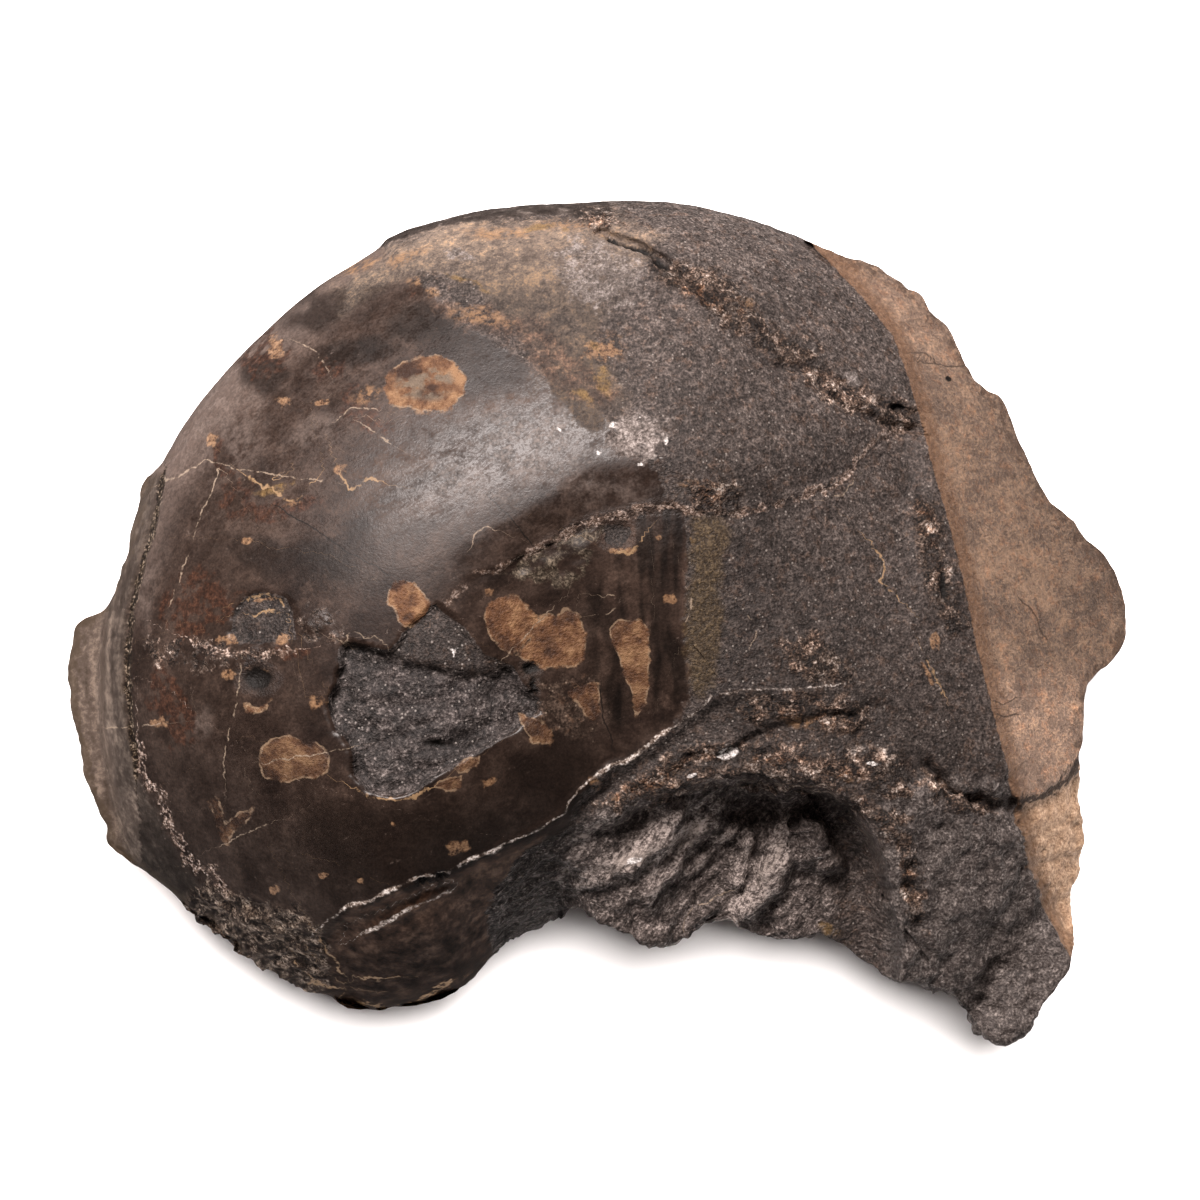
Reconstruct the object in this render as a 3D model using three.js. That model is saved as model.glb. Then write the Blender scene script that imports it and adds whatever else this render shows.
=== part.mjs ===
// Fossil nautiloid: one broken piece of rock, lying on its flank.
//
// Millimetres, X to the right, Y away, Z up. The origin is on the resting plane, under the middle of
// the rock's box. All lines are drawn on a flat plan, as the rock looks from straight above. The last
// step draws each point in or out for its height, because things nearer the eye look larger.

import * as THREE from "three";

// The eye that the plan was drawn from
const PLAN_LEVEL = 18; // height at which the plan's sizes are true
const EYE_ABOVE_PLAN = 582;
const EYE = [0.1, 1.6];

// The dome of the last whorl, half of an ellipsoid on its widest level
const RIM_HEIGHT = 17;
const DOME_RISE = 21;
const DOME_CENTRE = [1.7, -5.6];
const DOME_RADII = [41.6, 39.2];
const OUTSIDE_FALL = 25; // fall of the ledges beyond the rim, for each dome radius
const APERTURE_SAG = 6; // how far the dome sinks towards the joint face
const APERTURE_REACH = [5, 29]; // X where the sag starts and where it is full
const UMBILICUS = [3.3, -10.8];
const UMBILICUS_DIP = 6;
const UMBILICUS_RADIUS = 13;
const WHORL_END_BASE = 14.5; // height of the rounded lower left edge
const WHORL_END_ROUNDING = 16;

// Joint face: weathered, plain and tilted, beyond the crest
const JOINT_SLOPE = 1.1;
const JOINT_STEP_DROP = 1.2;

// Break under the umbilicus
const BREAK_WALL_WIDTH = 1.6;
const BREAK_FLOOR_HEIGHT = 22.5; // at BREAK_FLOOR_Y
const BREAK_FLOOR_Y = -14;
const BREAK_FLOOR_SLOPE = 0.72;
const BREAK_RIDGE_HEIGHT = 1.8;
const BREAK_RIDGE_WIDTH = 2.2;

// Relief of the shell and the infill
const STEP_DROP = 1.2;
const STEP_WIDTH = 3;
const CRACK_DEPTH = 1.5;
const CRACK_WIDTH = 1.7;
const GROOVE_DEPTH = 1;
const GROOVE_WIDTH = 1;
const PATCH_DEPTH = 1.4;
const NACRE_HEIGHT = 0.7;
const NACRE_WIDTH = 1.7;
const BELOW_NACRE_DROP = 1.6;
const FLAP_HEIGHT = 0.8;
const ROUGHNESS = 0.45;

// Underside
const FACET_REACH = 0.34; // flat resting face, as a share of the way from its middle to the outline
const FACET_MIDDLE = [1.5, 0.5];
const BELLY_POWER = 2.2;
const SMOOTHING = 0.06; // share of the outline on either side that evens out the underside
const SMOOTHING_STEPS = 6;

// Mesh
const MESH_MIDDLE = [4.9, 1.6]; // the whole outline is seen from here
const CELLS = 54;
const EDGE_GATHERING = 0.55; // 0 spaces the rings evenly, 1 gathers them at the rim
const SNAP_REACH = 0.5; // points this near the crest, the break's lip or the nacre rim move onto it
const WALL_RINGS = [0.995, 0.97, 0.92, 0.84, 0.74, 0.64, 0.54, 0.44];

// Outline, anticlockwise from the lower right tip
const OUTLINE = [
  [32.2, -33.5], [34, -32.6], [35.8, -30.6], [37.4, -28.3], [37.8, -25.8], [37.7, -22.4],
  [38.8, -17.4], [38.4, -14.1], [38.8, -8.3], [39.2, -5], [41.4, -3], [42.4, 0], [41.2, 3.9],
  [38.4, 7.4], [35.9, 9.9], [33.9, 13.7], [32, 17.8], [30, 19.1], [28, 22.9], [25.5, 26.2],
  [23.6, 27.5], [18.5, 29.6], [12.9, 31.8], [5.7, 33.4], [-3.5, 33.3], [-10.1, 32.6],
  [-17.2, 30.2], [-17.5, 29.4], [-23.1, 26.2], [-28.7, 21.1], [-33.1, 15.8], [-35.2, 12.2],
  [-36.2, 11], [-37.9, 5.4], [-39.6, 1], [-41.8, -0.6], [-42.4, -4.8], [-41.6, -9.8],
  [-40.7, -13.6], [-39.3, -16.5], [-39.2, -17.8], [-36.8, -19.8], [-32.9, -22.9], [-28.6, -26.6],
  [-24.9, -28.7], [-21.7, -30.2], [-18, -31.2], [-14, -30.6], [-10.6, -29.3], [-7.5, -25.7],
  [-3.8, -23.9], [-1.1, -23.1], [1.6, -24.7], [4.6, -25.8], [7.3, -25], [9.9, -24.1],
  [13.6, -25.3], [17.1, -24.9], [19.8, -26.1], [23.6, -28.6], [28, -29.5], [30.4, -32.5],
];

// Rounded end of the whorl, along the lower left of the outline
const WHORL_END = [
  [-39.2, -17.8], [-36.8, -19.8], [-32.9, -22.9], [-28.6, -26.6], [-24.9, -28.7], [-21.7, -30.2],
  [-18, -31.2], [-14, -30.6], [-10.6, -29.3], [-7.5, -25.7], [-3.8, -23.9],
];

// Crest, from the top down; the joint face is on its right
const CREST = [
  [13.7, 32.4], [17.1, 30], [20.6, 26.4], [23.6, 22.6], [25.3, 17.6], [26.9, 11.6], [28.8, 4.8],
  [30.3, -2.4], [32.1, -9.6], [33.6, -15.6], [34.2, -19.6], [35.6, -23], [37.2, -26], [38.9, -29.2],
];
const JOINT_STEP = [[33.4, -14.9], [35.3, -14.1], [36.9, -13.4], [37.9, -12.4], [40, -9]];

// Suture that parts the raised upper whorl from the lower one, from left to right
const SUTURE = [
  [-12.7, 0.8], [-9.5, 3.2], [-6.3, 5.1], [-3.1, 6.8], [-0.5, 8], [3.3, 9], [5.3, 9.3], [8.1, 8.8],
  [13.7, 9], [16.5, 10.1], [19.3, 11], [21.1, 13.2], [22.9, 14.7], [25.9, 15.8],
];
const UPPER_CRACK = [
  [-0.2, 31.2], [2.1, 30.2], [4.5, 29], [7.3, 26.8], [9.6, 24.6], [11.5, 22.7], [13.7, 20.8],
  [16.1, 20.2], [18.9, 19.2], [20.9, 17.8], [22.9, 16.6], [26.1, 16],
];
const BLOCK_CRACK = [[26.5, -12], [28.1, -14], [30.9, -14.6], [33.6, -15]];
const GROOVE = [
  [-34.8, 11.6], [-35.3, 8], [-36.5, 4.8], [-37.4, 1.6], [-37.8, -4.8], [-37.2, -9.6],
  [-36.7, -13.2], [-34.7, -15.6], [-32.7, -19.2], [-30.9, -20.3],
];

// Bare patch where a flake of shell has come off
const BARE_PATCH = [
  [-20.8, -2.2], [-17.5, -2], [-14.4, 1], [-12.4, 1], [-9.5, -2.8], [-6.9, -3.4], [-4.3, -5.8],
  [-4.7, -8.2], [-6.7, -9.9], [-11.9, -11.8], [-15.9, -14.2], [-18.1, -13.6], [-20.3, -9.6],
  [-21.5, -7.4],
];

// Pearly shell rim round the umbilicus, from left to right
const NACRE_RIM = [
  [-22.4, -24.6], [-20.3, -23], [-16.3, -21.6], [-11.9, -20.2], [-8.3, -18.4], [-4.3, -16.8],
  [-2.3, -14.4], [0.1, -11.9], [3.3, -10.2], [5.3, -8.3], [8.9, -6.1], [12.9, -5.6], [20.1, -5],
];
const SHELL_FLAP = [[-17.2, 29.6], [-14.3, 31], [-10.3, 31.7], [-5.5, 32.2], [-0.7, 31.7]];

// Break: its lip, closed by two corners beyond the outline
const BREAK_LIP = [
  [-3.1, -22.8], [-4.3, -20.8], [-3.7, -18.8], [-2.1, -17], [0.1, -15.4], [3.3, -14], [7.3, -12.7],
  [11.3, -12.1], [15.3, -12.4], [18.5, -13.4], [21.1, -15], [22.8, -17.2], [23.5, -19.7],
  [24, -22.4], [24.5, -24.8], [24.1, -34],
];
const BREAK_AREA = [...BREAK_LIP, [-3.1, -34]];
const BREAK_RIDGES = [
  [[15.8, -17.4], [14.1, -20.2], [11.7, -23.4]],
  [[11.7, -18.2], [10.4, -21.2], [8.1, -22.8]],
  [[8.5, -16.8], [4.1, -18.8], [-0.8, -20.6]],
  [[18.5, -16.8], [20.1, -20.8], [19.7, -25.2]],
];

const { clamp, lerp, smoothstep } = THREE.MathUtils;

// Nearest point of an open line: its place, how far off it is, and the side, + left of the line's way
function nearest(line, x, y) {
  let best = { off: Infinity };
  for (let i = 0; i + 1 < line.length; i++) {
    const [ax, ay] = line[i];
    const [bx, by] = [line[i + 1][0] - ax, line[i + 1][1] - ay];
    const share = clamp(((x - ax) * bx + (y - ay) * by) / (bx * bx + by * by), 0, 1);
    const [px, py] = [ax + share * bx, ay + share * by];
    const off = Math.hypot(x - px, y - py);
    if (off < best.off) best = { off, x: px, y: py, side: Math.sign(bx * (y - ay) - by * (x - ax)) };
  }
  return best;
}

// Distance to the edge of a closed area, + inside it
function depthInside(area, x, y) {
  let inside = false;
  for (let i = 0, j = area.length - 1; i < area.length; j = i++) {
    const [[ax, ay], [bx, by]] = [area[i], area[j]];
    if (ay > y !== by > y && x < ax + ((bx - ax) * (y - ay)) / (by - ay)) inside = !inside;
  }
  const edge = nearest([...area, area[0]], x, y).off;
  return inside ? edge : -edge;
}

// Soft bump, 1 on its middle and nearly 0 at its width
const bump = (off, width) => Math.exp(-3 * (off / width) ** 2);

// Quarter circle, from 0 at the edge up to 1
const quarter = (u) => Math.sqrt(1 - (1 - clamp(u, 0, 1)) ** 2);

// Uneven stone, a sum of crossing waves, between about -1 and 1
function unevenness(x, y) {
  const wide = Math.sin(0.5 * x + 0.8 * y) * Math.cos(0.7 * x - 0.4 * y + 1);
  const fine = Math.sin(1.3 * x - 1.1 * y + 2) * Math.sin(0.9 * x + 1.4 * y);
  return 0.6 * wide + 0.4 * fine;
}

// Smooth surface of the whorl. On the round upper left rim, rimShare, 1 at the outline, sets the level.
function domeHeight(x, y, rimShare) {
  const [ex, ey] = [(x - DOME_CENTRE[0]) / DOME_RADII[0], (y - DOME_CENTRE[1]) / DOME_RADII[1]];
  const angle = THREE.MathUtils.radToDeg(Math.atan2(ey, ex));
  const round = smoothstep(angle, 58, 68) * (1 - smoothstep(angle, 150, 156));
  const reach = lerp(Math.hypot(ex, ey), rimShare, round * smoothstep(rimShare, 0.6, 1));
  const rise = DOME_RISE * Math.sqrt(Math.max(0, 1 - reach * reach));
  const outside = OUTSIDE_FALL * Math.max(0, reach - 1);
  const sag = APERTURE_SAG * smoothstep(x, ...APERTURE_REACH);
  const off = Math.hypot(x - UMBILICUS[0], y - UMBILICUS[1]);
  const dip = UMBILICUS_DIP * Math.exp(-((off / UMBILICUS_RADIUS) ** 2));
  const height = RIM_HEIGHT + rise - outside - sag - dip;
  const end = nearest(WHORL_END, x, y).off;
  return lerp(WHORL_END_BASE, height, quarter(end / WHORL_END_ROUNDING));
}

// Dome with its steps, cracks, ridges and bare patch
function shellHeight(x, y, rimShare) {
  let height = domeHeight(x, y, rimShare);
  const suture = nearest(SUTURE, x, y);
  const sutureEnds = smoothstep(x, -13, -8) * (1 - smoothstep(x, 24, 27));
  if (suture.side < 0) height -= STEP_DROP * sutureEnds * (1 - smoothstep(suture.off, 4, 16));
  else height -= STEP_DROP * sutureEnds * (1 - smoothstep(suture.off, 0, STEP_WIDTH));
  height -= CRACK_DEPTH * bump(nearest(UPPER_CRACK, x, y).off, CRACK_WIDTH);
  height -= CRACK_DEPTH * bump(nearest(BLOCK_CRACK, x, y).off, CRACK_WIDTH);
  height -= GROOVE_DEPTH * bump(nearest(GROOVE, x, y).off, GROOVE_WIDTH);
  height += FLAP_HEIGHT * bump(nearest(SHELL_FLAP, x, y).off, 1.6);
  const bare = smoothstep(depthInside(BARE_PATCH, x, y), -0.3, 0.9);
  height -= bare * (PATCH_DEPTH + ROUGHNESS * unevenness(x, y));
  const rim = nearest(NACRE_RIM, x, y);
  height += NACRE_HEIGHT * bump(rim.off, NACRE_WIDTH);
  const rimEnds = smoothstep(x, -24, -20) * (1 - smoothstep(x, 14, 21));
  if (rim.side < 0) height -= BELOW_NACRE_DROP * rimEnds * smoothstep(rim.off, 0.2, 2.4);
  const block = smoothstep(x, 21, 25) * (1 - smoothstep(y, -14, -9));
  return height + block * 1.6 * ROUGHNESS * unevenness(x, y);
}

// Broken floor under the umbilicus, with slanting ridges
function breakHeight(x, y) {
  let height = BREAK_FLOOR_HEIGHT + BREAK_FLOOR_SLOPE * (y - BREAK_FLOOR_Y);
  for (const ridge of BREAK_RIDGES) {
    height += BREAK_RIDGE_HEIGHT * bump(nearest(ridge, x, y).off, BREAK_RIDGE_WIDTH);
  }
  return height + 1.6 * ROUGHNESS * unevenness(x, y);
}

// Upper surface of the rock over a point of the plan
function topHeight(x, y, rimShare) {
  const crest = nearest(CREST, x, y);
  if (crest.side > 0) {
    const step = nearest(JOINT_STEP, x, y);
    const below = x > 33 && step.side < 0 ? smoothstep(step.off, 0, 0.8) : 0;
    return domeHeight(crest.x, crest.y, 0) - JOINT_SLOPE * crest.off - JOINT_STEP_DROP * below;
  }
  const broken = smoothstep(depthInside(BREAK_AREA, x, y), 0, BREAK_WALL_WIDTH);
  return lerp(shellHeight(x, y, rimShare), breakHeight(x, y), broken);
}

// Underside at a share of the way out from its middle: flat, then bellied up to the rim
function bottomHeight(x, y, reach, rimHeight) {
  const share = clamp((reach - FACET_REACH) / (1 - FACET_REACH), 0, 1);
  const lumps = ROUGHNESS * (1 + unevenness(0.4 * x, 0.4 * y)) * share * (1 - share) * 4;
  return rimHeight * (1 - Math.sqrt(1 - share ** BELLY_POWER)) + lumps;
}

// Place in a square grid as a share of the way round and of the way out
function roundSquare(column, row) {
  const [a, b] = [(2 * column) / CELLS - 1, (2 * row) / CELLS - 1];
  const out = Math.max(Math.abs(a), Math.abs(b));
  if (out === 0) return [0, 0];
  let turn = (3 + (a / out + 1) / 2) / 4;
  if (a === out) turn = (b / out + 1) / 8;
  else if (b === out) turn = (1 + (1 - a / out) / 2) / 4;
  else if (a === -out) turn = (2 + (1 - b / out) / 2) / 4;
  const gathered = Math.sin((out * Math.PI) / 2);
  return [turn % 1, lerp(out, gathered, EDGE_GATHERING)];
}

const outlineCurve = new THREE.CatmullRomCurve3(
  OUTLINE.map(([x, y]) => new THREE.Vector3(x, y, 0)), true, "centripetal",
);
outlineCurve.arcLengthDivisions = 2000;
outlineCurve.updateArcLengths();

// Point of the plan at a share of the way round and of the way out from the mesh's middle
function upperPoint(turn, out) {
  const edge = outlineCurve.getPointAt(turn);
  const [x, y] = [lerp(MESH_MIDDLE[0], edge.x, out), lerp(MESH_MIDDLE[1], edge.y, out)];
  const inner = out < 0.97;
  for (const line of [CREST, BREAK_LIP, NACRE_RIM]) {
    const spot = nearest(line, x, y);
    if (inner && spot.off < SNAP_REACH) return [spot.x, spot.y];
  }
  return [x, y];
}

// Mean of a quantity over the stretch of outline about a place on it
function evened(turn, quantity) {
  let sum = 0;
  for (let k = -SMOOTHING_STEPS; k <= SMOOTHING_STEPS; k++) {
    sum += quantity((turn + (SMOOTHING * k) / SMOOTHING_STEPS + 1) % 1);
  }
  return sum / (2 * SMOOTHING_STEPS + 1);
}

// The same for the underside, whose inner rings follow an evened outline
function lowerPoint(turn, out) {
  const edge = outlineCurve.getPointAt(turn);
  const evenX = evened(turn, (place) => outlineCurve.getPointAt(place).x);
  const evenY = evened(turn, (place) => outlineCurve.getPointAt(place).y);
  const evenness = smoothstep(1 - out, 0, 0.3);
  const [edgeX, edgeY] = [lerp(edge.x, evenX, evenness), lerp(edge.y, evenY, evenness)];
  return [lerp(FACET_MIDDLE[0], edgeX, out), lerp(FACET_MIDDLE[1], edgeY, out)];
}

const points = [];
const triangles = [];

function addPoint(x, y, z) {
  const nearer = 1 - (z - PLAN_LEVEL) / EYE_ABOVE_PLAN;
  points.push(EYE[0] + (x - EYE[0]) * nearer, EYE[1] + (y - EYE[1]) * nearer, z);
  return points.length / 3 - 1;
}

// Band between two closed rings; the inner ring has as many points as the outer one, or half as many
function addBand(outer, inner) {
  const step = outer.length / inner.length;
  for (let i = 0; i < inner.length; i++) {
    const [here, next] = [inner[i], inner[(i + 1) % inner.length]];
    const [a, b, c] = [0, 1, 2].map((k) => outer[(step * i + k) % outer.length]);
    if (step === 2) triangles.push(a, here, b, b, here, next, b, next, c);
    else triangles.push(a, here, next, a, next, b);
  }
}

// Upper surface: a square grid bent to the outline
const grid = [];
for (let row = 0; row <= CELLS; row++) {
  for (let column = 0; column <= CELLS; column++) {
    const [turn, out] = roundSquare(column, row);
    const [x, y] = upperPoint(turn, out);
    grid.push(addPoint(x, y, topHeight(x, y, out)));
  }
}
const at = (column, row) => grid[row * (CELLS + 1) + column];
const heightGap = (a, b) => Math.abs(points[3 * a + 2] - points[3 * b + 2]);
for (let row = 0; row < CELLS; row++) {
  for (let column = 0; column < CELLS; column++) {
    const corners = [at(column, row), at(column + 1, row), at(column + 1, row + 1), at(column, row + 1)];
    const [a, b, c, d] = corners;
    if (heightGap(a, c) < heightGap(b, d)) triangles.push(a, b, c, a, c, d);
    else triangles.push(a, b, d, b, c, d);
  }
}

// Rim of the grid, in the order of the outline
let ring = [];
for (let i = 0; i < CELLS; i++) ring.push(at(CELLS, i));
for (let i = 0; i < CELLS; i++) ring.push(at(CELLS - i, CELLS));
for (let i = 0; i < CELLS; i++) ring.push(at(0, CELLS - i));
for (let i = 0; i < CELLS; i++) ring.push(at(i, 0));
const rimHeights = ring.map((index) => points[3 * index + 2]);
const rimHeight = (turn) => rimHeights[Math.round(turn * rimHeights.length) % rimHeights.length];

// Underside: rings that shrink to the flat resting face, the lower ones with half as many points
for (const out of [...WALL_RINGS, FACET_REACH]) {
  const spacing = out > 0.9 ? 1 : 2;
  const inner = [];
  for (let i = 0; i < rimHeights.length; i += spacing) {
    const turn = i / rimHeights.length;
    const [x, y] = lowerPoint(turn, out);
    const level = lerp(rimHeight(turn), evened(turn, rimHeight), smoothstep(1 - out, 0, 0.3));
    inner.push(addPoint(x, y, bottomHeight(x, y, out, level)));
  }
  addBand(ring, inner);
  ring = inner;
}
const middle = addPoint(...FACET_MIDDLE, 0);
for (let i = 0; i < ring.length; i++) triangles.push(middle, ring[(i + 1) % ring.length], ring[i]);

const shape = new THREE.BufferGeometry();
shape.setAttribute("position", new THREE.Float32BufferAttribute(points, 3));
shape.setIndex(triangles);
shape.computeBoundingBox();
const box = shape.boundingBox;
shape.translate(-(box.min.x + box.max.x) / 2, -(box.min.y + box.max.y) / 2, -box.min.z);
shape.computeVertexNormals();

const fossil = new THREE.Mesh(
  shape,
  new THREE.MeshStandardMaterial({ color: 0x55463f, roughness: 0.5, metalness: 0, flatShading: true }),
);
fossil.name = "nautiloid_fossil";

const group = new THREE.Group();
group.add(fossil);
export default group;
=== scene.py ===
"""A broken fossil nautiloid lying on its flank, seen from straight above.

The fossil is one closed mesh. Its marks are places read off the picture, in pixels, and put on a
flat plan in millimetres, X to the right and Y away, as an eye 582 mm above its widest level sees them.
Heights are worked out over that plan, roughness is added along the surface, and each point is drawn in or
out for its height, because things nearer the eye look larger.
"""

import itertools
import math

import bpy
import numpy as np
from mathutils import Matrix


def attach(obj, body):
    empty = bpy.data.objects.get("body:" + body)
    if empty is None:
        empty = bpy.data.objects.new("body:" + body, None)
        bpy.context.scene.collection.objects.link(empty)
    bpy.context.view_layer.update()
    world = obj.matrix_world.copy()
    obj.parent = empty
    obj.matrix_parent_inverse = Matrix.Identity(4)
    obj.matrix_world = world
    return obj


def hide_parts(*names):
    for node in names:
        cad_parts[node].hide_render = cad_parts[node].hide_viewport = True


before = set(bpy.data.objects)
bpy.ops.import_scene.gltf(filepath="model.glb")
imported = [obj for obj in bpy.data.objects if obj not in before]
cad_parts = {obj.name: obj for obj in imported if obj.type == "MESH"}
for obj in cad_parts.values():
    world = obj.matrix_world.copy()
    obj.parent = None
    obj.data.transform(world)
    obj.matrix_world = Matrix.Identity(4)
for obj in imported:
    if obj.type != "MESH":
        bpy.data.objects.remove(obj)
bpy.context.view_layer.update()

MM = 0.001

# Picture that the places are read off: the plan's middle in it, and the plan's millimetres in a pixel
PICTURE_MIDDLE = (598.5, 620)
PIXEL = 0.08


def on_plan(*places):
    """Places in the picture as millimetres right of the plan's middle and beyond it, to a tenth."""
    middle_x, middle_y = PICTURE_MIDDLE
    return [(round((x - middle_x) * PIXEL, 1), round((middle_y - y) * PIXEL, 1)) for x, y in places]


def spots_on_plan(*spots):
    """The same for ellipses: middle, half width, half height and, where they are turned, the degrees."""
    return [
        (*on_plan((x, y))[0], round(wide * PIXEL, 1), round(high * PIXEL, 1), *(turn or [0]))
        for x, y, wide, high, *turn in spots
    ]


# Eye that the plan was drawn from, in millimetres of the plan
PLAN_LEVEL = 18
EYE_ABOVE_PLAN = 582
EYE = np.array([0.1, 1.6])
VIEW_WIDTH = 96  # width of the picture at the plan's level

# Dome of the last whorl, half of an ellipsoid on its widest level
RIM_HEIGHT = 17
DOME_RISE = 21
DOME_CENTRE = (1.7, -5.6)
DOME_RADII = (41.6, 39.2)
OUTSIDE_FALL = 25
APERTURE_SAG = 6
APERTURE_REACH = (5, 29)
UMBILICUS = (3.3, -10.8)
UMBILICUS_DIP = 6
UMBILICUS_RADIUS = 13
TIP_HEIGHT = 19
WHORL_END_BASE = 14.5
WHORL_END_ROUNDING = 16

# Joint face and the break under the umbilicus
JOINT_SLOPE = 1.1
JOINT_STEP_DROP = 1.2
BREAK_WALL_WIDTH = 1.1
BREAK_FLOOR_HEIGHT = 23.6
BREAK_FLOOR_Y = -14
BREAK_FLOOR_SLOPE = 0.46

# Underside
FACET_REACH = 0.34
FACET_MIDDLE = (1.5, 0.5)
BELLY_POWER = 2.2
SMOOTHING = 0.06

# Mesh
MESH_MIDDLE = (4.9, 1.6)
CELLS = 256
EDGE_GATHERING = 0.45
BELLY_RINGS = (12, 22, 12)  # with all, half and a quarter of the rim's points
FACET_RINGS = 6

OUTLINE = on_plan(
    (1001, 1039), (1023, 1027), (1046, 1003), (1066, 974), (1071, 942), (1070, 900), (1084, 838),
    (1079, 796), (1084, 724), (1088, 682), (1116, 658), (1128, 620), (1114, 571), (1079, 528), (1047, 496),
    (1022, 449), (998, 397), (974, 381), (949, 334), (917, 293), (893, 276), (830, 250), (760, 222),
    (670, 202), (555, 204), (472, 213), (386, 239), (379, 248), (360, 260), (310, 292), (240, 356),
    (185, 422), (159, 468), (146, 482), (125, 552), (104, 608), (76, 628), (69, 680), (79, 742), (90, 790),
    (107, 826), (109, 843), (138, 868), (187, 906), (241, 953), (287, 979), (327, 998), (374, 1010),
    (424, 1003), (466, 986), (505, 941), (551, 919), (585, 909), (618, 929), (656, 942), (690, 933),
    (722, 921), (768, 936), (812, 931), (846, 946), (893, 978), (948, 989), (978, 1026),
)
WHORL_END = on_plan(
    (109, 843), (138, 868), (187, 906), (241, 953), (287, 979), (327, 998), (374, 1010), (424, 1003),
    (466, 986), (505, 941), (551, 919),
)

# Lines that the relief follows
CREST = on_plan(
    (770, 215), (812, 245), (856, 290), (893, 337), (915, 400), (935, 475), (958, 560), (977, 650),
    (1000, 740), (1018, 815), (1026, 865), (1044, 908), (1064, 945), (1085, 985),
)
JOINT_STEP = on_plan(
    (1014, 808), (1028, 800), (1042, 796), (1058, 788), (1070, 776), (1078, 760), (1110, 730),
)
SUTURE = on_plan(
    (440, 612), (466, 579), (490, 570), (512, 560), (539, 549), (560, 537), (584, 524), (592, 521),
    (604, 519), (619, 518), (626, 518), (636, 511), (649, 507), (672, 505), (687, 511), (715, 510),
    (735, 512), (768, 508), (800, 496), (830, 488), (846, 475), (860, 456), (880, 438), (905, 431),
    (922, 424),
)
SLOPE_ABOVE_SUTURE = (  # x, width
    (-12, 3.0), (-8, 3.2), (-4, 3.6), (0.5, 4.8), (8, 4.2), (20, 3.4), (25, 1.5),
)
UPPER_CRACK = on_plan(
    (600, 231), (622, 241), (640, 248), (662, 260), (690, 285), (718, 312), (742, 338), (772, 369),
    (812, 367), (834, 380), (855, 395), (888, 408), (922, 416),
)
LOWER_CRACK = on_plan((818, 384), (844, 408), (877, 421), (920, 431))
BLOCK_CRACK = on_plan((928, 768), (948, 794), (985, 803), (1018, 810))
GROOVE = on_plan(
    (163, 475), (159, 505), (151, 535), (142, 562), (133, 600), (128, 640), (127, 690), (133, 742),
    (136, 775),
)
NACRE_RIM = on_plan(
    (318, 928), (345, 908), (370, 900), (395, 890), (428, 876), (450, 872), (470, 858), (495, 850),
    (522, 836), (545, 828), (562, 812), (574, 794), (588, 783), (606, 768), (630, 760), (652, 740),
    (676, 724), (695, 711), (712, 698), (739, 690), (790, 690), (850, 684),
)
LOWER_NACRE = on_plan((362, 934), (380, 924), (420, 905), (447, 890))
LEDGE = on_plan(
    (600, 806), (640, 780), (680, 756), (712, 748), (730, 741), (758, 722), (800, 712), (860, 705),
)
SHELL_FLAP = on_plan(
    (378, 248), (376, 236), (398, 220), (436, 208), (475, 198), (513, 192), (560, 190), (600, 192),
    (612, 206), (604, 218), (586, 221), (571, 216), (555, 213), (532, 215), (501, 219), (475, 221),
    (444, 225), (417, 232), (396, 241),
)
BREAK_LIP = on_plan(
    (492, 950), (486, 916), (497, 888), (511, 866), (528, 848), (552, 838), (576, 824), (610, 806),
    (656, 790), (710, 773), (760, 771), (800, 775), (830, 785), (858, 803), (880, 835), (888, 866),
    (897, 900), (905, 930), (900, 1045),
)
BREAK_AREA = BREAK_LIP + on_plan((492, 1045))
PEARLY_PARTS = spots_on_plan(
    (356, 905, 16, 6, 20), (388, 892, 14, 5, 20), (418, 878, 14, 4, 20), (484, 857, 26, 7, 22),
    (376, 928, 14, 8, 30), (400, 914, 18, 5, 30), (620, 764, 30, 8, 20), (660, 736, 14, 6, 40),
)
BREAK_RIDGES = (  # each runs down to the left, with its width
    (on_plan((790, 833), (787, 858), (774, 886), (750, 914)), 2.0),
    (on_plan((751, 834), (747, 858), (741, 882)), 1.0),
    (on_plan((735, 833), (718, 850), (696, 872)), 0.8),
    (on_plan((713, 816), (700, 834), (684, 855), (662, 888)), 1.8),
    (on_plan((676, 822), (660, 846), (640, 866), (600, 884)), 2.2),
    (on_plan((614, 812), (580, 846), (566, 880)), 0.9),
)
BREAK_FACET = on_plan((800, 812), (822, 824), (834, 846), (846, 868), (820, 874), (796, 862), (796, 832))
BARE_PATCH = on_plan(
    (340, 643), (362, 648), (389, 651), (410, 625), (432, 603), (450, 616), (467, 630), (486, 654),
    (512, 667), (528, 691), (541, 700), (538, 715), (512, 734), (478, 753), (440, 774), (421, 788),
    (394, 797), (368, 792), (354, 774), (352, 748), (336, 731), (328, 699), (338, 678),
)
RIGHT_BARE = on_plan(
    (536, 676), (562, 679), (584, 675), (592, 694), (597, 720), (597, 744), (576, 741), (556, 733),
    (536, 722), (530, 700),
)
SMOOTH_BARE = on_plan((389, 655), (432, 603), (467, 630), (486, 654), (512, 668), (470, 676), (430, 668))
SMALL_PATCH = on_plan(
    (229, 640), (233, 615), (243, 596), (262, 592), (286, 598), (294, 612), (296, 640), (262, 644),
)
GREY_PIT = on_plan((600, 528), (618, 524), (632, 528), (628, 543), (614, 548), (603, 542))
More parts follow.
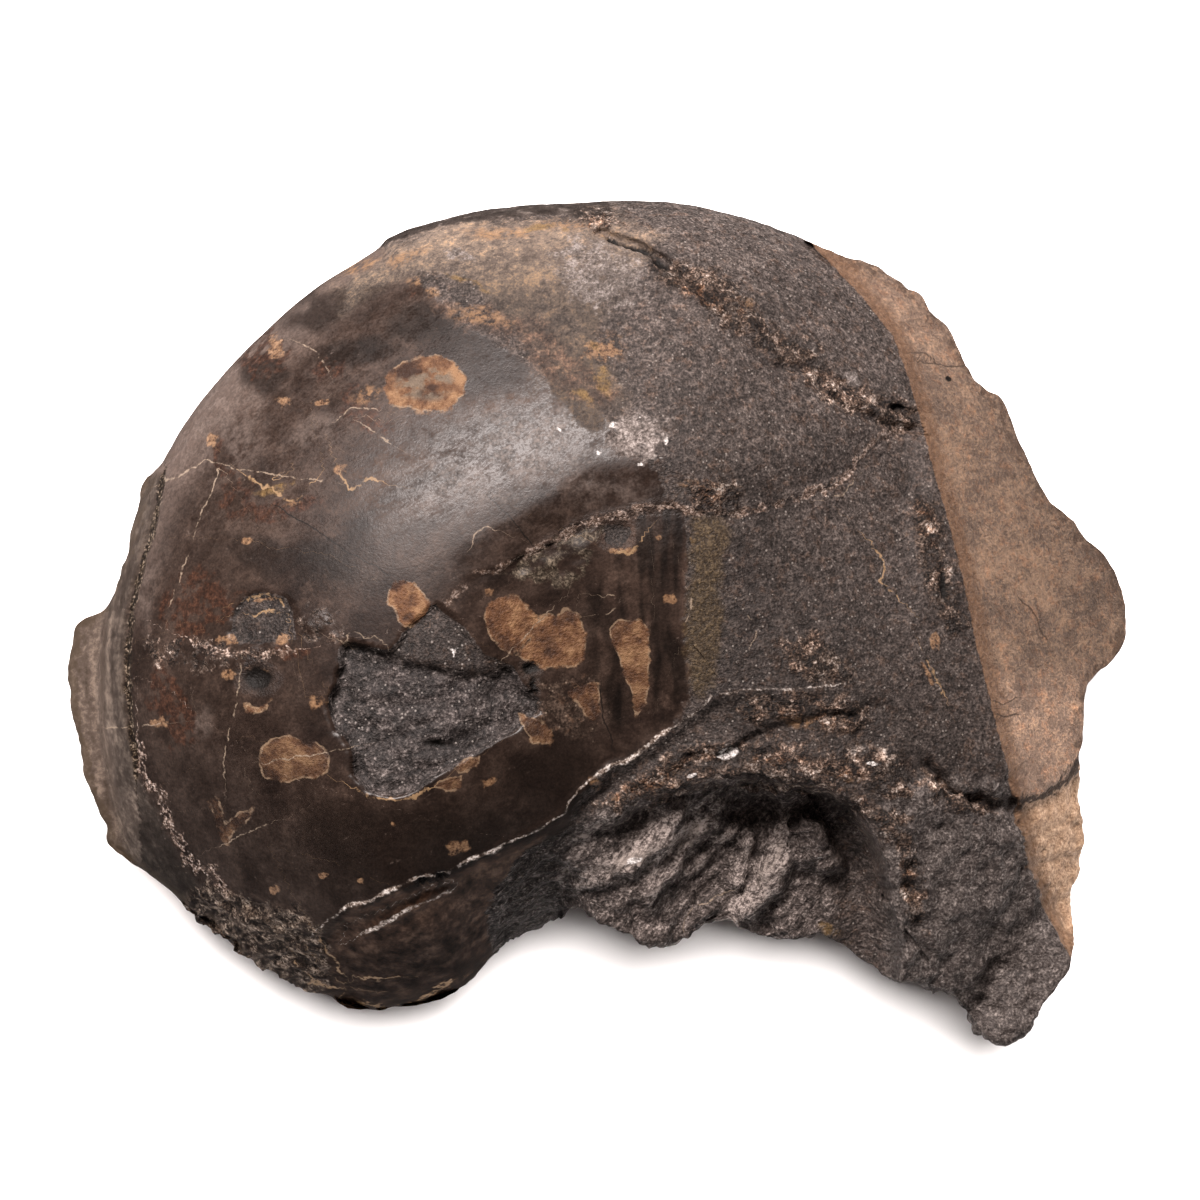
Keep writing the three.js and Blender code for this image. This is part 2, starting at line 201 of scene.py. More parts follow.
HOLES = spots_on_plan(
    (531, 670, 10, 8), (534, 687, 5, 13), (436, 743, 16, 5, -8), (349, 694, 4, 10, 25), (257, 679, 17, 12),
    (948, 380, 4, 4), (614, 239, 12, 3, -15), (636, 247, 22, 4, -22), (660, 262, 12, 5, -35),
    (900, 408, 14, 4, -10), (944, 585, 4, 22, 12), (424, 882, 7, 4, 15), (440, 878, 6, 4),
)

# Areas of colour
SHELL = on_plan(
    (360, 230), (395, 262), (430, 290), (470, 326), (505, 350), (540, 372), (576, 394), (606, 412),
    (625, 430), (650, 462), (668, 495), (687, 508), (690, 560), (689, 620), (691, 692), (665, 730),
    (640, 752), (600, 772), (578, 800), (560, 840), (556, 870), (565, 920), (500, 1000), (400, 1060),
    (200, 1000), (40, 900), (40, 500), (150, 300),
)
OCHRE = on_plan(
    (336, 280), (370, 258), (395, 246), (440, 228), (520, 214), (600, 217), (640, 240), (650, 262),
    (632, 300), (612, 330), (625, 352), (638, 385), (622, 420), (604, 434), (580, 412), (545, 380),
    (505, 356), (494, 336), (474, 312), (442, 294), (408, 280), (376, 279), (340, 296),
)
RED_BAND = on_plan(
    (440, 312), (470, 316), (500, 318), (540, 322), (560, 345), (590, 365), (625, 392), (612, 412),
    (590, 402), (560, 390), (535, 370), (520, 345), (480, 338), (452, 330),
)
OLIVE_BAND = on_plan((690, 514), (722, 514), (730, 530), (724, 580), (722, 640), (716, 690), (692, 700))
LEFT_STRIP = on_plan(
    (160, 472), (165, 480), (156, 522), (141, 562), (130, 602), (125, 682), (133, 742), (138, 770),
    (150, 796), (163, 826), (178, 858), (196, 878), (215, 902), (228, 932), (190, 990), (60, 900),
    (60, 560), (120, 480),
)
UNDER_RIM = on_plan(
    (345, 912), (395, 895), (450, 878), (495, 856), (545, 836), (556, 870), (560, 915), (500, 1000),
    (400, 1060), (300, 1040), (318, 950),
)
EDGE_CRUST = on_plan(
    (200, 885), (222, 884), (262, 902), (300, 906), (318, 925), (330, 950), (322, 1000), (240, 985),
    (170, 920),
)
CRUSTS = (
    on_plan((580, 205), (606, 208), (622, 222), (606, 230), (590, 222)),
    on_plan(
        (655, 268), (678, 264), (700, 268), (716, 276), (738, 298), (752, 316), (772, 334), (766, 344),
        (745, 340), (725, 332), (703, 314), (682, 299), (660, 284),
    ),
    on_plan((752, 322), (772, 338), (800, 343), (810, 360), (792, 370), (766, 366), (748, 344)),
    on_plan(
        (772, 368), (812, 364), (838, 380), (870, 396), (918, 406), (921, 434), (878, 425), (845, 411),
        (812, 384),
    ),
    on_plan((740, 706), (770, 697), (802, 700), (800, 716), (765, 724), (744, 720)),
    on_plan((812, 702), (840, 698), (866, 706), (870, 722), (850, 736), (824, 734), (808, 718)),
    on_plan(
        (644, 772), (668, 758), (700, 748), (732, 744), (765, 744), (800, 750), (850, 754), (884, 752),
        (904, 762), (900, 775), (872, 776), (846, 782), (826, 774), (790, 768), (740, 766), (700, 770),
        (668, 784), (640, 800), (606, 814), (594, 808), (620, 790),
    ),
    on_plan(
        (640, 792), (700, 772), (760, 763), (802, 767), (836, 779), (866, 799), (892, 832), (884, 842),
        (860, 822), (826, 798), (792, 785), (752, 781), (700, 786), (650, 806),
    ),
    on_plan((876, 770), (912, 775), (906, 800), (888, 806), (868, 790)),
    on_plan((692, 478), (724, 472), (742, 488), (736, 506), (700, 508)),
    on_plan((784, 640), (812, 634), (838, 652), (848, 676), (812, 684), (786, 672)),
    on_plan(
        (914, 492), (938, 500), (946, 540), (956, 580), (966, 625), (956, 632), (936, 600), (926, 560),
        (918, 530),
    ),
    on_plan((148, 648), (190, 640), (232, 646), (262, 644), (268, 656), (246, 666), (205, 660), (160, 662)),
    on_plan((304, 620), (326, 612), (336, 622), (340, 642), (326, 636), (308, 632)),
    on_plan((887, 818), (899, 812), (910, 850), (921, 900), (920, 932), (910, 922), (900, 880)),
    on_plan((925, 775), (950, 788), (1000, 802), (998, 816), (960, 810), (930, 792)),
)
SCALES = on_plan(
    (500, 570), (508, 562), (540, 548), (566, 537), (585, 526), (602, 528), (602, 545), (590, 562),
    (580, 578), (560, 590), (545, 588), (530, 578), (512, 574),
)
# White crystals; the small one at the right end of the break's lip is a painted glint
WHITE_SPOTS = spots_on_plan(
    (729, 753, 13, 6, 10), (874, 764, 9, 3), (613, 424, 4, 5), (598, 452, 4, 4), (623, 437, 3, 3),
    (616, 446, 2, 2), (560, 430, 2, 2), (666, 440, 3, 5), (662, 456, 3, 3), (640, 462, 4, 2),
    (452, 654, 2, 7, 25), (818, 857, 2, 2), (460, 648, 2, 3), (690, 775, 8, 2, 12), (632, 862, 10, 4, 20),
    (556, 427, 2, 2), (640, 418, 2, 2),
)
TAN_SPOTS = (
    on_plan(
        (383, 388), (388, 372), (402, 361), (420, 356), (440, 356), (455, 363), (464, 377), (462, 394),
        (450, 408), (430, 413), (408, 409), (392, 404),
    ),
    on_plan(
        (388, 590), (392, 583), (400, 580), (412, 583), (425, 592), (431, 602), (427, 612), (415, 622),
        (408, 628), (400, 622), (395, 610), (388, 602),
    ),
    on_plan(
        (258, 765), (262, 748), (275, 737), (290, 736), (301, 744), (316, 743), (327, 752), (327, 770),
        (315, 777), (300, 776), (286, 781), (266, 778),
    ),
    on_plan(
        (483, 618), (488, 605), (500, 596), (515, 595), (527, 606), (538, 618), (538, 630), (525, 643),
        (515, 656), (500, 648), (488, 634),
    ),
    on_plan(
        (518, 657), (530, 640), (540, 622), (549, 611), (557, 618), (566, 608), (578, 616), (586, 640),
        (584, 655), (575, 668), (560, 666), (545, 670), (534, 664),
    ),
    on_plan(
        (611, 630), (618, 620), (640, 619), (650, 630), (650, 650), (649, 680), (646, 705), (636, 718),
        (630, 690), (622, 672), (619, 655), (612, 642),
    ),
    on_plan((569, 692), (585, 682), (597, 682), (598, 700), (598, 722), (590, 720), (584, 712), (576, 704)),
    on_plan((519, 712), (530, 718), (545, 724), (555, 738), (552, 748), (534, 742), (526, 730)),
    on_plan((435, 784), (444, 777), (460, 778), (461, 788), (448, 793)),
    on_plan((453, 768), (466, 760), (478, 758), (474, 768), (460, 775)),
    on_plan(
        (207, 800), (216, 798), (224, 826), (236, 812), (255, 806), (250, 818), (232, 832), (226, 846),
        (218, 832),
    ),
    on_plan((244, 700), (252, 708), (262, 706), (271, 697), (266, 710), (254, 714), (246, 710)),
)
TAN_DOTS = spots_on_plan(
    (283, 402, 7, 6), (320, 403, 7, 4), (246, 541, 6, 5), (227, 675, 8, 5), (262, 672, 8, 4),
    (316, 704, 9, 7), (272, 892, 7, 5), (460, 846, 12, 8), (394, 825, 4, 4), (325, 875, 5, 4),
    (360, 880, 4, 4), (488, 781, 8, 6), (489, 592, 6, 6), (620, 551, 16, 4), (160, 722, 10, 6),
    (600, 352, 22, 9), (340, 470, 8, 6), (283, 640, 8, 6), (225, 640, 12, 5), (661, 538, 5, 4),
    (670, 600, 7, 6), (262, 600, 16, 3), (212, 440, 6, 10), (276, 347, 8, 12), (925, 672, 3, 14, 25),
    (935, 640, 6, 10),
)
RED_STAINS = spots_on_plan(
    (232, 492, 26, 36), (282, 510, 36, 14), (200, 600, 36, 36), (322, 372, 20, 24), (368, 405, 30, 18),
    (372, 424, 30, 12), (428, 298, 26, 10), (218, 440, 12, 24), (270, 352, 20, 26), (545, 362, 30, 14),
    (170, 700, 20, 60), (300, 650, 20, 8),
)
ORANGE_STAINS = spots_on_plan(
    (418, 284, 18, 6, -8), (434, 300, 12, 5, -20), (356, 264, 26, 6, 22), (480, 324, 34, 9, -10),
    (505, 232, 54, 9, 5), (560, 222, 34, 8, 0), (404, 258, 30, 6, 15), (620, 350, 16, 12, -40),
    (436, 402, 26, 6, 12), (372, 396, 20, 9, 20), (592, 781, 8, 7), (712, 490, 8, 9), (700, 480, 20, 6),
    (850, 778, 12, 7, -30), (291, 504, 12, 4, 20), (800, 722, 30, 8, 5), (650, 786, 44, 8, 20),
    (612, 800, 20, 6, 30), (770, 760, 24, 4), (700, 300, 16, 8, -30), (740, 308, 10, 10),
    (928, 520, 6, 14, 20), (905, 880, 6, 16, 10),
)
# Where the lamp's highlight falls on the polish: pale mottles there are a painted highlight
PAINTED_HIGHLIGHT_SPOTS = spots_on_plan((535, 442, 74, 44, -22), (478, 482, 54, 26, -18), (602, 396, 34, 22))
# Pale rock, and the break's ridge faces towards the lamp, which are given painted light
PALE_ROCK_AND_LIT_FACES = spots_on_plan(
    (598, 272, 58, 42, -20), (642, 434, 34, 24, 10), (852, 381, 14, 8, -20), (757, 331, 16, 11, -30),
    (460, 262, 20, 8, -10), (628, 864, 26, 9, 25), (684, 836, 9, 22, -35), (768, 866, 9, 34, -25),
)
YELLOW_STAINS = spots_on_plan(
    (276, 486, 26, 7, -10), (614, 374, 13, 26, 20), (588, 396, 20, 8, -30), (834, 938, 24, 5),
    (545, 222, 24, 9), (470, 300, 24, 5, -20), (700, 535, 4, 12),
)
# Pale stains on the shell, and painted light: sheen along the upper left rim and a shaded slope above the
# suture lifted
PALE_STAINS_AND_LIGHT = spots_on_plan(
    (440, 285, 56, 18, -8), (610, 486, 60, 18, 10), (195, 722, 24, 14, 30), (205, 405, 50, 70, -40),
    (150, 590, 14, 60), (250, 420, 30, 60, -30), (1010, 640, 40, 60), (320, 440, 40, 16),
    (960, 860, 40, 40), (668, 576, 5, 18),
)
# Dark stains, and painted shade under the break's lip and in its hollow
DARK_STAINS_AND_SHADE = spots_on_plan(
    (478, 362, 70, 26, -12), (420, 330, 50, 20, -20), (598, 620, 12, 55), (671, 610, 17, 90),
    (614, 712, 14, 36, -8), (330, 300, 60, 14, 25), (480, 690, 60, 14, -20), (420, 850, 160, 60),
    (560, 780, 50, 60, -20), (300, 560, 80, 20, -15), (850, 860, 40, 50), (740, 795, 90, 20),
    (270, 372, 24, 18), (350, 350, 60, 20),
)
CRUMB_LINES = (
    on_plan(
        (138, 742), (140, 764), (147, 782), (160, 790), (165, 812), (171, 830), (186, 856), (196, 869),
        (213, 874), (226, 897),
    ),
    on_plan((192, 640), (212, 649), (240, 654), (262, 655), (290, 650)),
)
PALE_LINES = (
    on_plan((742, 888), (716, 896), (692, 908), (684, 920), (683, 934)),
    on_plan((298, 343), (306, 344), (316, 351), (323, 360), (328, 374)),
    on_plan((338, 416), (346, 410), (354, 407), (366, 407), (376, 409)),
    on_plan((360, 422), (374, 432), (388, 442)),
    on_plan(
        (160, 484), (175, 476), (190, 468), (205, 460), (215, 463), (232, 466), (250, 469), (276, 474),
        (305, 480), (330, 482),
    ),
    on_plan((218, 470), (212, 488), (205, 505), (196, 530), (187, 555), (180, 578), (172, 604)),
    on_plan((240, 662), (238, 684), (236, 702), (228, 731), (224, 754), (223, 776)),
    on_plan((269, 762), (296, 756), (325, 752), (352, 747)),
    on_plan((337, 640), (350, 645), (347, 634), (356, 630), (364, 640), (374, 635), (381, 643)),
    on_plan((472, 544), (476, 532), (486, 527), (494, 530)),
    on_plan((105, 730), (135, 726), (160, 724)),
    on_plan((506, 658), (520, 642), (534, 628), (548, 612)),
    on_plan((223, 844), (240, 836), (266, 825)),
    on_plan((603, 614), (611, 612), (619, 604), (616, 595), (605, 595)),
    on_plan((689, 620), (693, 606), (690, 594)),
    on_plan((744, 610), (754, 620), (756, 634), (750, 648)),
    on_plan((820, 500), (842, 494), (856, 478)),
    on_plan((1016, 622), (1020, 640), (1014, 660)),
)
OCHRE_LINES = (
    on_plan((250, 476), (262, 486), (270, 480), (276, 492), (286, 500), (300, 496), (310, 486)),
    on_plan((246, 600), (262, 594), (280, 598), (286, 610), (270, 614), (252, 612)),
    on_plan((357, 790), (372, 798), (394, 801), (415, 796), (428, 788)),
    on_plan((344, 478), (350, 490), (360, 488), (366, 478), (376, 480)),
    on_plan((605, 549), (616, 554), (630, 552), (640, 540)),
    on_plan((298, 964), (310, 980), (322, 988), (336, 989)),
    on_plan((366, 978), (380, 979), (397, 978)),
    on_plan((420, 999), (432, 992), (440, 986), (451, 981)),
    on_plan((345, 1003), (390, 1008), (430, 1003)),
    on_plan((926, 660), (934, 676), (942, 694)),
    on_plan((870, 545), (884, 560), (880, 580), (896, 596)),
    on_plan((318, 938), (330, 958), (344, 972)),
)
DARK_LINES = (
    on_plan((275, 505), (310, 528), (345, 550), (388, 574)),
    on_plan((489, 499), (512, 520), (531, 543)),
    on_plan((1020, 600), (1032, 612), (1040, 626), (1046, 640)),
    on_plan((911, 352), (922, 352), (932, 360)),
    on_plan((920, 362), (944, 366), (966, 364)),
    on_plan((992, 700), (1004, 704), (1014, 700)),
    on_plan((996, 714), (1006, 716), (1016, 714)),
    on_plan((600, 690), (604, 720), (612, 745)),
)

LATTICE = np.random.default_rng(7).uniform(-1, 1, (64, 64, 64))


# Small formulas

def soft_step(value, low, high):
    """0 below low, 1 above high, and the curve 3t^2 - 2t^3 between."""
    share = np.clip((value - low) / (high - low), 0, 1)
    return share * share * (3 - 2 * share)


def blend(a, b, share):
    """a at share 0, b at share 1, in a straight line."""
    return a + (b - a) * share


def hump(off, width):
    """exp(-3 (off / width)^2): 1 on the middle of a ridge and nearly 0 at its width."""
    return np.exp(-3 * (off / width) ** 2)


def nearest(line, x, y):
    """Distance to an open line, the nearest place, and the side, + left of the line's way."""
    line = np.asarray(line, float)
    run = np.diff(line, axis=0)
    from_x = x[:, None] - line[:-1, 0]
    from_y = y[:, None] - line[:-1, 1]
    share = np.clip((from_x * run[:, 0] + from_y * run[:, 1]) / (run**2).sum(1), 0, 1)
    off = np.hypot(from_x - share * run[:, 0], from_y - share * run[:, 1])
    rows, pick = np.arange(len(x)), off.argmin(1)
    side = np.sign(run[:, 0] * from_y - run[:, 1] * from_x)[rows, pick]
    place = line[:-1][pick] + share[rows, pick, None] * run[pick]
    return off[rows, pick], place, side


def beside(lines, x, y):
    """Distance to the nearest of some lines, + left of it and - right of it."""
    best, signed = np.full(len(x), 99.0), np.zeros(len(x))
    for line in lines:
        off, _, side = nearest(line, x, y)
        signed = np.where(off < best, off * side, signed)
        best = np.minimum(best, off)
    return signed


def depth_inside(area, x, y):
    """Distance to the edge of a closed area, + inside it, where an odd number of edges is crossed."""
    loop = np.asarray(list(area) + [area[0]], float)
    (ax, ay), (bx, by) = loop[:-1].T, loop[1:].T
    crosses = (ay > y[:, None]) != (by > y[:, None])
    slope = (bx - ax) / np.where(by == ay, 1, by - ay)
    inside = (crosses & (x[:, None] < ax + slope * (y[:, None] - ay))).sum(1) % 2 == 1
    off = nearest(loop, x, y)[0]
    return np.where(inside, off, -off)


def in_any(areas, x, y):
    """Largest depth inside any of some areas."""
    return np.max([depth_inside(area, x, y) for area in areas], axis=0)


def in_spots(spots, x, y):
    """Largest of 1 - r over the ellipses, r being the distance from the middle in shares of the radii."""
    best = np.full(len(x), -3.0)
    for spot_x, spot_y, reach_x, reach_y, turn in spots:
        cosine, sine = math.cos(math.radians(turn)), math.sin(math.radians(turn))
        u = ((x - spot_x) * cosine + (y - spot_y) * sine) / reach_x
        v = ((y - spot_y) * cosine - (x - spot_x) * sine) / reach_y
        best = np.maximum(best, 1 - np.hypot(u, v))
    return best


def wobble(place, size, seed=0, octaves=3):
    """Noise from about -1 to 1: random numbers on a lattice joined smoothly, each octave half the size of
    the one before."""
    total = np.zeros(len(place))
    for octave in range(octaves):
        spot = place * (2**octave / size) + 19.19 * octave + 7.7 * seed
        cell = np.floor(spot).astype(int)
        part = spot - cell
        part = part * part * (3 - 2 * part)
        for corner in itertools.product((0, 1), repeat=3):
            weight = np.prod(np.where(corner, part, 1 - part), axis=1)
            i, j, k = ((cell + corner) % len(LATTICE)).T
            total += 0.5**octave * weight * LATTICE[i, j, k]
    return total


def creases(place, size, seed=0):
    """1 - 2 |noise|: sharp folds where the noise passes nought, between rounded hollows."""
    return 1 - 2 * abs(wobble(place, size, seed, octaves=4))


def slanted(place):
    """Places turned and squeezed so that noise read there is drawn out down to the left."""
    along = 0.64 * place[:, 0] + 0.77 * place[:, 1]
    aside = 0.64 * place[:, 1] - 0.77 * place[:, 0]
    return np.column_stack([0.25 * along, aside, place[:, 2]])


# Plan of the mesh

def closed_curve(points, samples=60):
    """Centripetal Catmull-Rom curve through the points: a cubic between each two, sampled evenly."""
    p0, p1, p2, p3 = (np.roll(np.asarray(points, float), k, axis=0) for k in (1, 0, -1, -2))
    t0, t1, t2 = (np.linalg.norm(b - a, axis=1)[:, None] ** 0.5 for a, b in ((p0, p1), (p1, p2), (p2, p3)))
    leave = ((p1 - p0) / t0 - (p2 - p0) / (t0 + t1) + (p2 - p1) / t1) * t1
    enter = ((p2 - p1) / t1 - (p3 - p1) / (t1 + t2) + (p3 - p2) / t2) * t1
    s = np.linspace(0, 1, samples, endpoint=False)[None, :, None]
    p1, p2, leave, enter = (v[:, None] for v in (p1, p2, leave, enter))
    curve = (2 * s**3 - 3 * s**2 + 1) * p1 + (s**3 - 2 * s**2 + s) * leave
    curve = curve + (3 * s**2 - 2 * s**3) * p2 + (s**3 - s**2) * enter
    return curve.reshape(-1, 2)


def outline_points(count):
    """Points at even distances along the outline, with a fine ragged edge where the rock is broken."""
    curve = closed_curve(OUTLINE)
    loop = np.vstack([curve, curve[:1]])
    length = np.concatenate([[0], np.cumsum(np.hypot(*np.diff(loop, axis=0).T))])
    places = np.linspace(0, length[-1], count, endpoint=False)
    points = np.stack([np.interp(places, length, loop[:, k]) for k in (0, 1)], 1)
    along = np.roll(points, -1, 0) - np.roll(points, 1, 0)
    outward = np.stack([along[:, 1], -along[:, 0]], 1) / np.linalg.norm(along, axis=1)[:, None]
    flat = np.column_stack([points, np.zeros(count)])
    angle = np.degrees(np.arctan2(points[:, 1] - DOME_CENTRE[1], points[:, 0] - DOME_CENTRE[0]))
    smooth_rim = soft_step(angle, 62, 68) * (1 - soft_step(angle, 150, 156))
    ragged = blend(0.24, 0.03, smooth_rim) * wobble(flat, 1.8, seed=3, octaves=3)
    return points + outward * ragged[:, None]


def round_square():
    """Shares of the way round and out for a square grid: out is the larger of |a| and |b|, and the way
    round runs along the square's four sides."""
    b, a = np.meshgrid(*[np.linspace(-1, 1, CELLS + 1)] * 2, indexing="ij")
    a, b = a.ravel(), b.ravel()
    out = np.maximum(abs(a), abs(b))
    safe = np.where(out == 0, 1, out)
    u, v = a / safe, b / safe
    sides = [u >= 1 - 1e-9, v >= 1 - 1e-9, u <= -1 + 1e-9]
    turn = np.select(sides, [(v + 1) / 8, (3 - u) / 8, (5 - v) / 8], (7 + u) / 8)
    return turn % 1, blend(out, np.sin(out * math.pi / 2), EDGE_GATHERING)


def at_turn(ring, turn):
    """Values of a closed ring of points at shares of the way round, in straight lines between points."""
    spot = turn * len(ring)
    first = np.floor(spot).astype(int) % len(ring)
    part = (spot - np.floor(spot)).reshape(-1, *[1] * (ring.ndim - 1))
    return blend(ring[first], ring[(first + 1) % len(ring)], part)


def evened(ring):
    """Mean over the stretch of a closed ring within SMOOTHING of each point."""
    reach = int(SMOOTHING * len(ring))
    return np.mean([np.roll(ring, k, axis=0) for k in range(-reach, reach + 1, 4)], axis=0)


# Heights over the plan

def dome_height(x, y, rim_share):
    """Half ellipsoid, less the sag towards the joint face and the dip at the umbilicus, and not under the
    tip's height at the lower right. On the round rim it follows the mesh's own share of the way out."""
    ex, ey = (x - DOME_CENTRE[0]) / DOME_RADII[0], (y - DOME_CENTRE[1]) / DOME_RADII[1]
    angle = np.degrees(np.arctan2(ey, ex))
    round_rim = soft_step(angle, 58, 68) * (1 - soft_step(angle, 150, 156))
    reach = blend(np.hypot(ex, ey), rim_share, round_rim * soft_step(rim_share, 0.6, 1))
    height = RIM_HEIGHT + DOME_RISE * np.sqrt(np.clip(1 - reach**2, 0, 1))
    height -= OUTSIDE_FALL * np.clip(reach - 1, 0, 1)
    height -= APERTURE_SAG * soft_step(x, *APERTURE_REACH)
    off = np.hypot(x - UMBILICUS[0], y - UMBILICUS[1])
    height -= UMBILICUS_DIP * np.exp(-((off / UMBILICUS_RADIUS) ** 2))
    tip = soft_step(x, 26, 32) * (1 - soft_step(y, -26, -20))
    height = blend(height, np.maximum(height, TIP_HEIGHT), tip)
    end = np.clip(nearest(WHORL_END, x, y)[0] / WHORL_END_ROUNDING, 0, 1)
    return blend(WHORL_END_BASE, height, np.sqrt(1 - (1 - end) ** 2))


def shell_height(height, x, y):
    """Dome with its suture step, cracks, groove, pearly rims, ledges and bare patches."""
    height = height.copy()
    off, _, side = nearest(SUTURE, x, y)
    ends = soft_step(x, -13, -3) * (1 - soft_step(x, 24, 27))
    below = 1 - soft_step(off, 4, 16)
    above = 1 - soft_step(off / np.interp(x, *zip(*SLOPE_ABOVE_SUTURE)), 0, 1)
    height -= ends * np.where(side < 0, 1.2 * below, 0.8 * above)
    height -= blend(1.3, 0.5, soft_step(x, 5, 8)) * hump(nearest(UPPER_CRACK, x, y)[0], 0.7)
    height -= 0.6 * hump(nearest(LOWER_CRACK, x, y)[0], 0.6)
    height -= 1.3 * hump(nearest(BLOCK_CRACK, x, y)[0], 0.8)
    height -= 0.5 * hump(nearest(GROOVE, x, y)[0], 0.4)
    height += 0.5 * soft_step(depth_inside(SHELL_FLAP, x, y), -0.1, 0.25)
    off, _, side = nearest(NACRE_RIM, x, y)
    ends = soft_step(x, -24, -20) * (1 - soft_step(x, 14, 21))
    height += 0.12 * hump(off, 0.4) * ends * (1 - 0.7 * soft_step(x, 1, 4))
    height -= np.where(side < 0, ends * soft_step(off, 0.1, 1.2), 0) * blend(1.1, 0.5, soft_step(x, 1, 5))
    height += 0.3 * hump(nearest(LOWER_NACRE, x, y)[0], 0.5)
    off, _, side = nearest(LEDGE, x, y)
    ends = soft_step(x, 1, 6) * (1 - soft_step(x, 20, 24))
    height -= 0.7 * np.where(side < 0, ends * soft_step(off, 0, 0.7), 0)
    bare = soft_step(depth_inside(BARE_PATCH, x, y), -0.05, 0.35)
    height -= bare * blend(1.1, 0.45, soft_step(depth_inside(SMOOTH_BARE, x, y), -0.4, 0.4))
    height -= 0.35 * soft_step(depth_inside(SMALL_PATCH, x, y), -0.1, 0.3)
    height -= 0.3 * soft_step(depth_inside(GREY_PIT, x, y), -0.1, 0.3)
    return height


def break_height(x, y, flat, shell, lip_off):
    """Sloping floor with slanting ridges, a raised facet and a smooth hollow on the right; it rises towards
    the lip, and on the left it lies just under the shell."""
    height = BREAK_FLOOR_HEIGHT + BREAK_FLOOR_SLOPE * (y - BREAK_FLOOR_Y)
    for ridge, width in BREAK_RIDGES:
        off, _, side = nearest(ridge, x, y)
        height += 0.75 * width * np.where(side > 0, hump(off, 0.5 * width), hump(off, 1.5 * width))
    height += 1.5 * soft_step(depth_inside(BREAK_FACET, x, y), -0.4, 0.5)
    height -= 0.9 * soft_step(x, 17.5, 21)
    height += 2.8 * (1 - soft_step(x, 4, 14)) + 1.5 * (1 - soft_step(lip_off, 0, 3.5))
    height = blend(shell - 0.6, height, soft_step(x, -5, 7))
    return height + 0.8 * wobble(flat * (1, 0.6, 1), 5, seed=5, octaves=2)


def lit_ridge_faces(x, y):
    """Share from 0 to 1 for painted light: 1 on the ridges' upper left faces, towards the lamp, fading
    beyond half their width.
    """
    best = np.zeros(len(x))
    for ridge, width in BREAK_RIDGES:
        off, _, side = nearest(ridge, x, y)
        fade = np.where(side > 0, soft_step(off, 0, 0.4), soft_step(off, 0.5 * width, 1.3 * width))
        best = np.maximum(best, 1 - fade)
    return best


def top_height(x, y, rim_share):
    """Shell, break or joint face, whichever holds at that place."""
    flat = np.column_stack([x, y, np.zeros(len(x))])
    warp_x = x + 0.28 * wobble(flat, 1.8, seed=1)
    warp_y = y + 0.28 * wobble(flat, 1.8, seed=2)
    height = shell_height(dome_height(x, y, rim_share), warp_x, warp_y)
    width = blend(2.0, BREAK_WALL_WIDTH, soft_step(x, -1, 5))
    lip_off = depth_inside(BREAK_AREA, warp_x, warp_y)
    wall = soft_step(lip_off / width, 0, 1)
    height = blend(height, break_height(x, y, flat, height, lip_off), wall)
    off, place, side = nearest(CREST, x, y)
    joint = dome_height(place[:, 0], place[:, 1], np.zeros(len(x))) - JOINT_SLOPE * off
    step_off, _, step_side = nearest(JOINT_STEP, warp_x, warp_y)
    joint -= JOINT_STEP_DROP * np.where((x > 32.5) & (step_side < 0), soft_step(step_off, 0, 0.6), 0)
    joint -= 0.5 * hump(step_off, 0.35) * (x > 32.5)
    return np.where(side > 0, joint, height)


# The mesh: points, faces, and where each point's marks are read on the plan

def band(outer, inner):
    """Triangles between two closed rings; the inner one has as many points as the outer one, or half."""
    here, following = inner, np.roll(inner, -1)
    if len(outer) == len(inner):
        a, b = outer, np.roll(outer, -1)
        return np.vstack([np.column_stack([a, here, following]), np.column_stack([a, following, b])])
    a, b, c = outer[::2], outer[1::2], np.roll(outer[::2], -1)
    return np.vstack([np.column_stack(t) for t in ((a, here, b), (b, here, following), (b, following, c))])


def grid_triangles(height):
    """Two triangles a square. The cut runs outwards from the middle, or across a step where one shows."""
    index = np.arange((CELLS + 1) ** 2).reshape(CELLS + 1, CELLS + 1)
    a, b, c, d = (v.ravel() for v in (index[:-1, :-1], index[:-1, 1:], index[1:, 1:], index[1:, :-1]))
    row, column = np.divmod(np.arange(CELLS * CELLS), CELLS)
    outward = (row < CELLS / 2) == (column < CELLS / 2)
    gap = abs(height[a] - height[c]) - abs(height[b] - height[d])
    stepped = (abs(gap) > 0.12) & (row != column) & (row + column != CELLS - 1)
    first_cut = np.where(stepped, gap < 0, outward)[:, None]
    first = np.where(first_cut, np.column_stack([a, b, c]), np.column_stack([a, b, d]))
    second = np.where(first_cut, np.column_stack([a, c, d]), np.column_stack([b, c, d]))
    ring = np.concatenate([index[:-1, -1], index[-1, :0:-1], index[:0:-1, 0], index[0, :-1]])
    return [first, second], ring


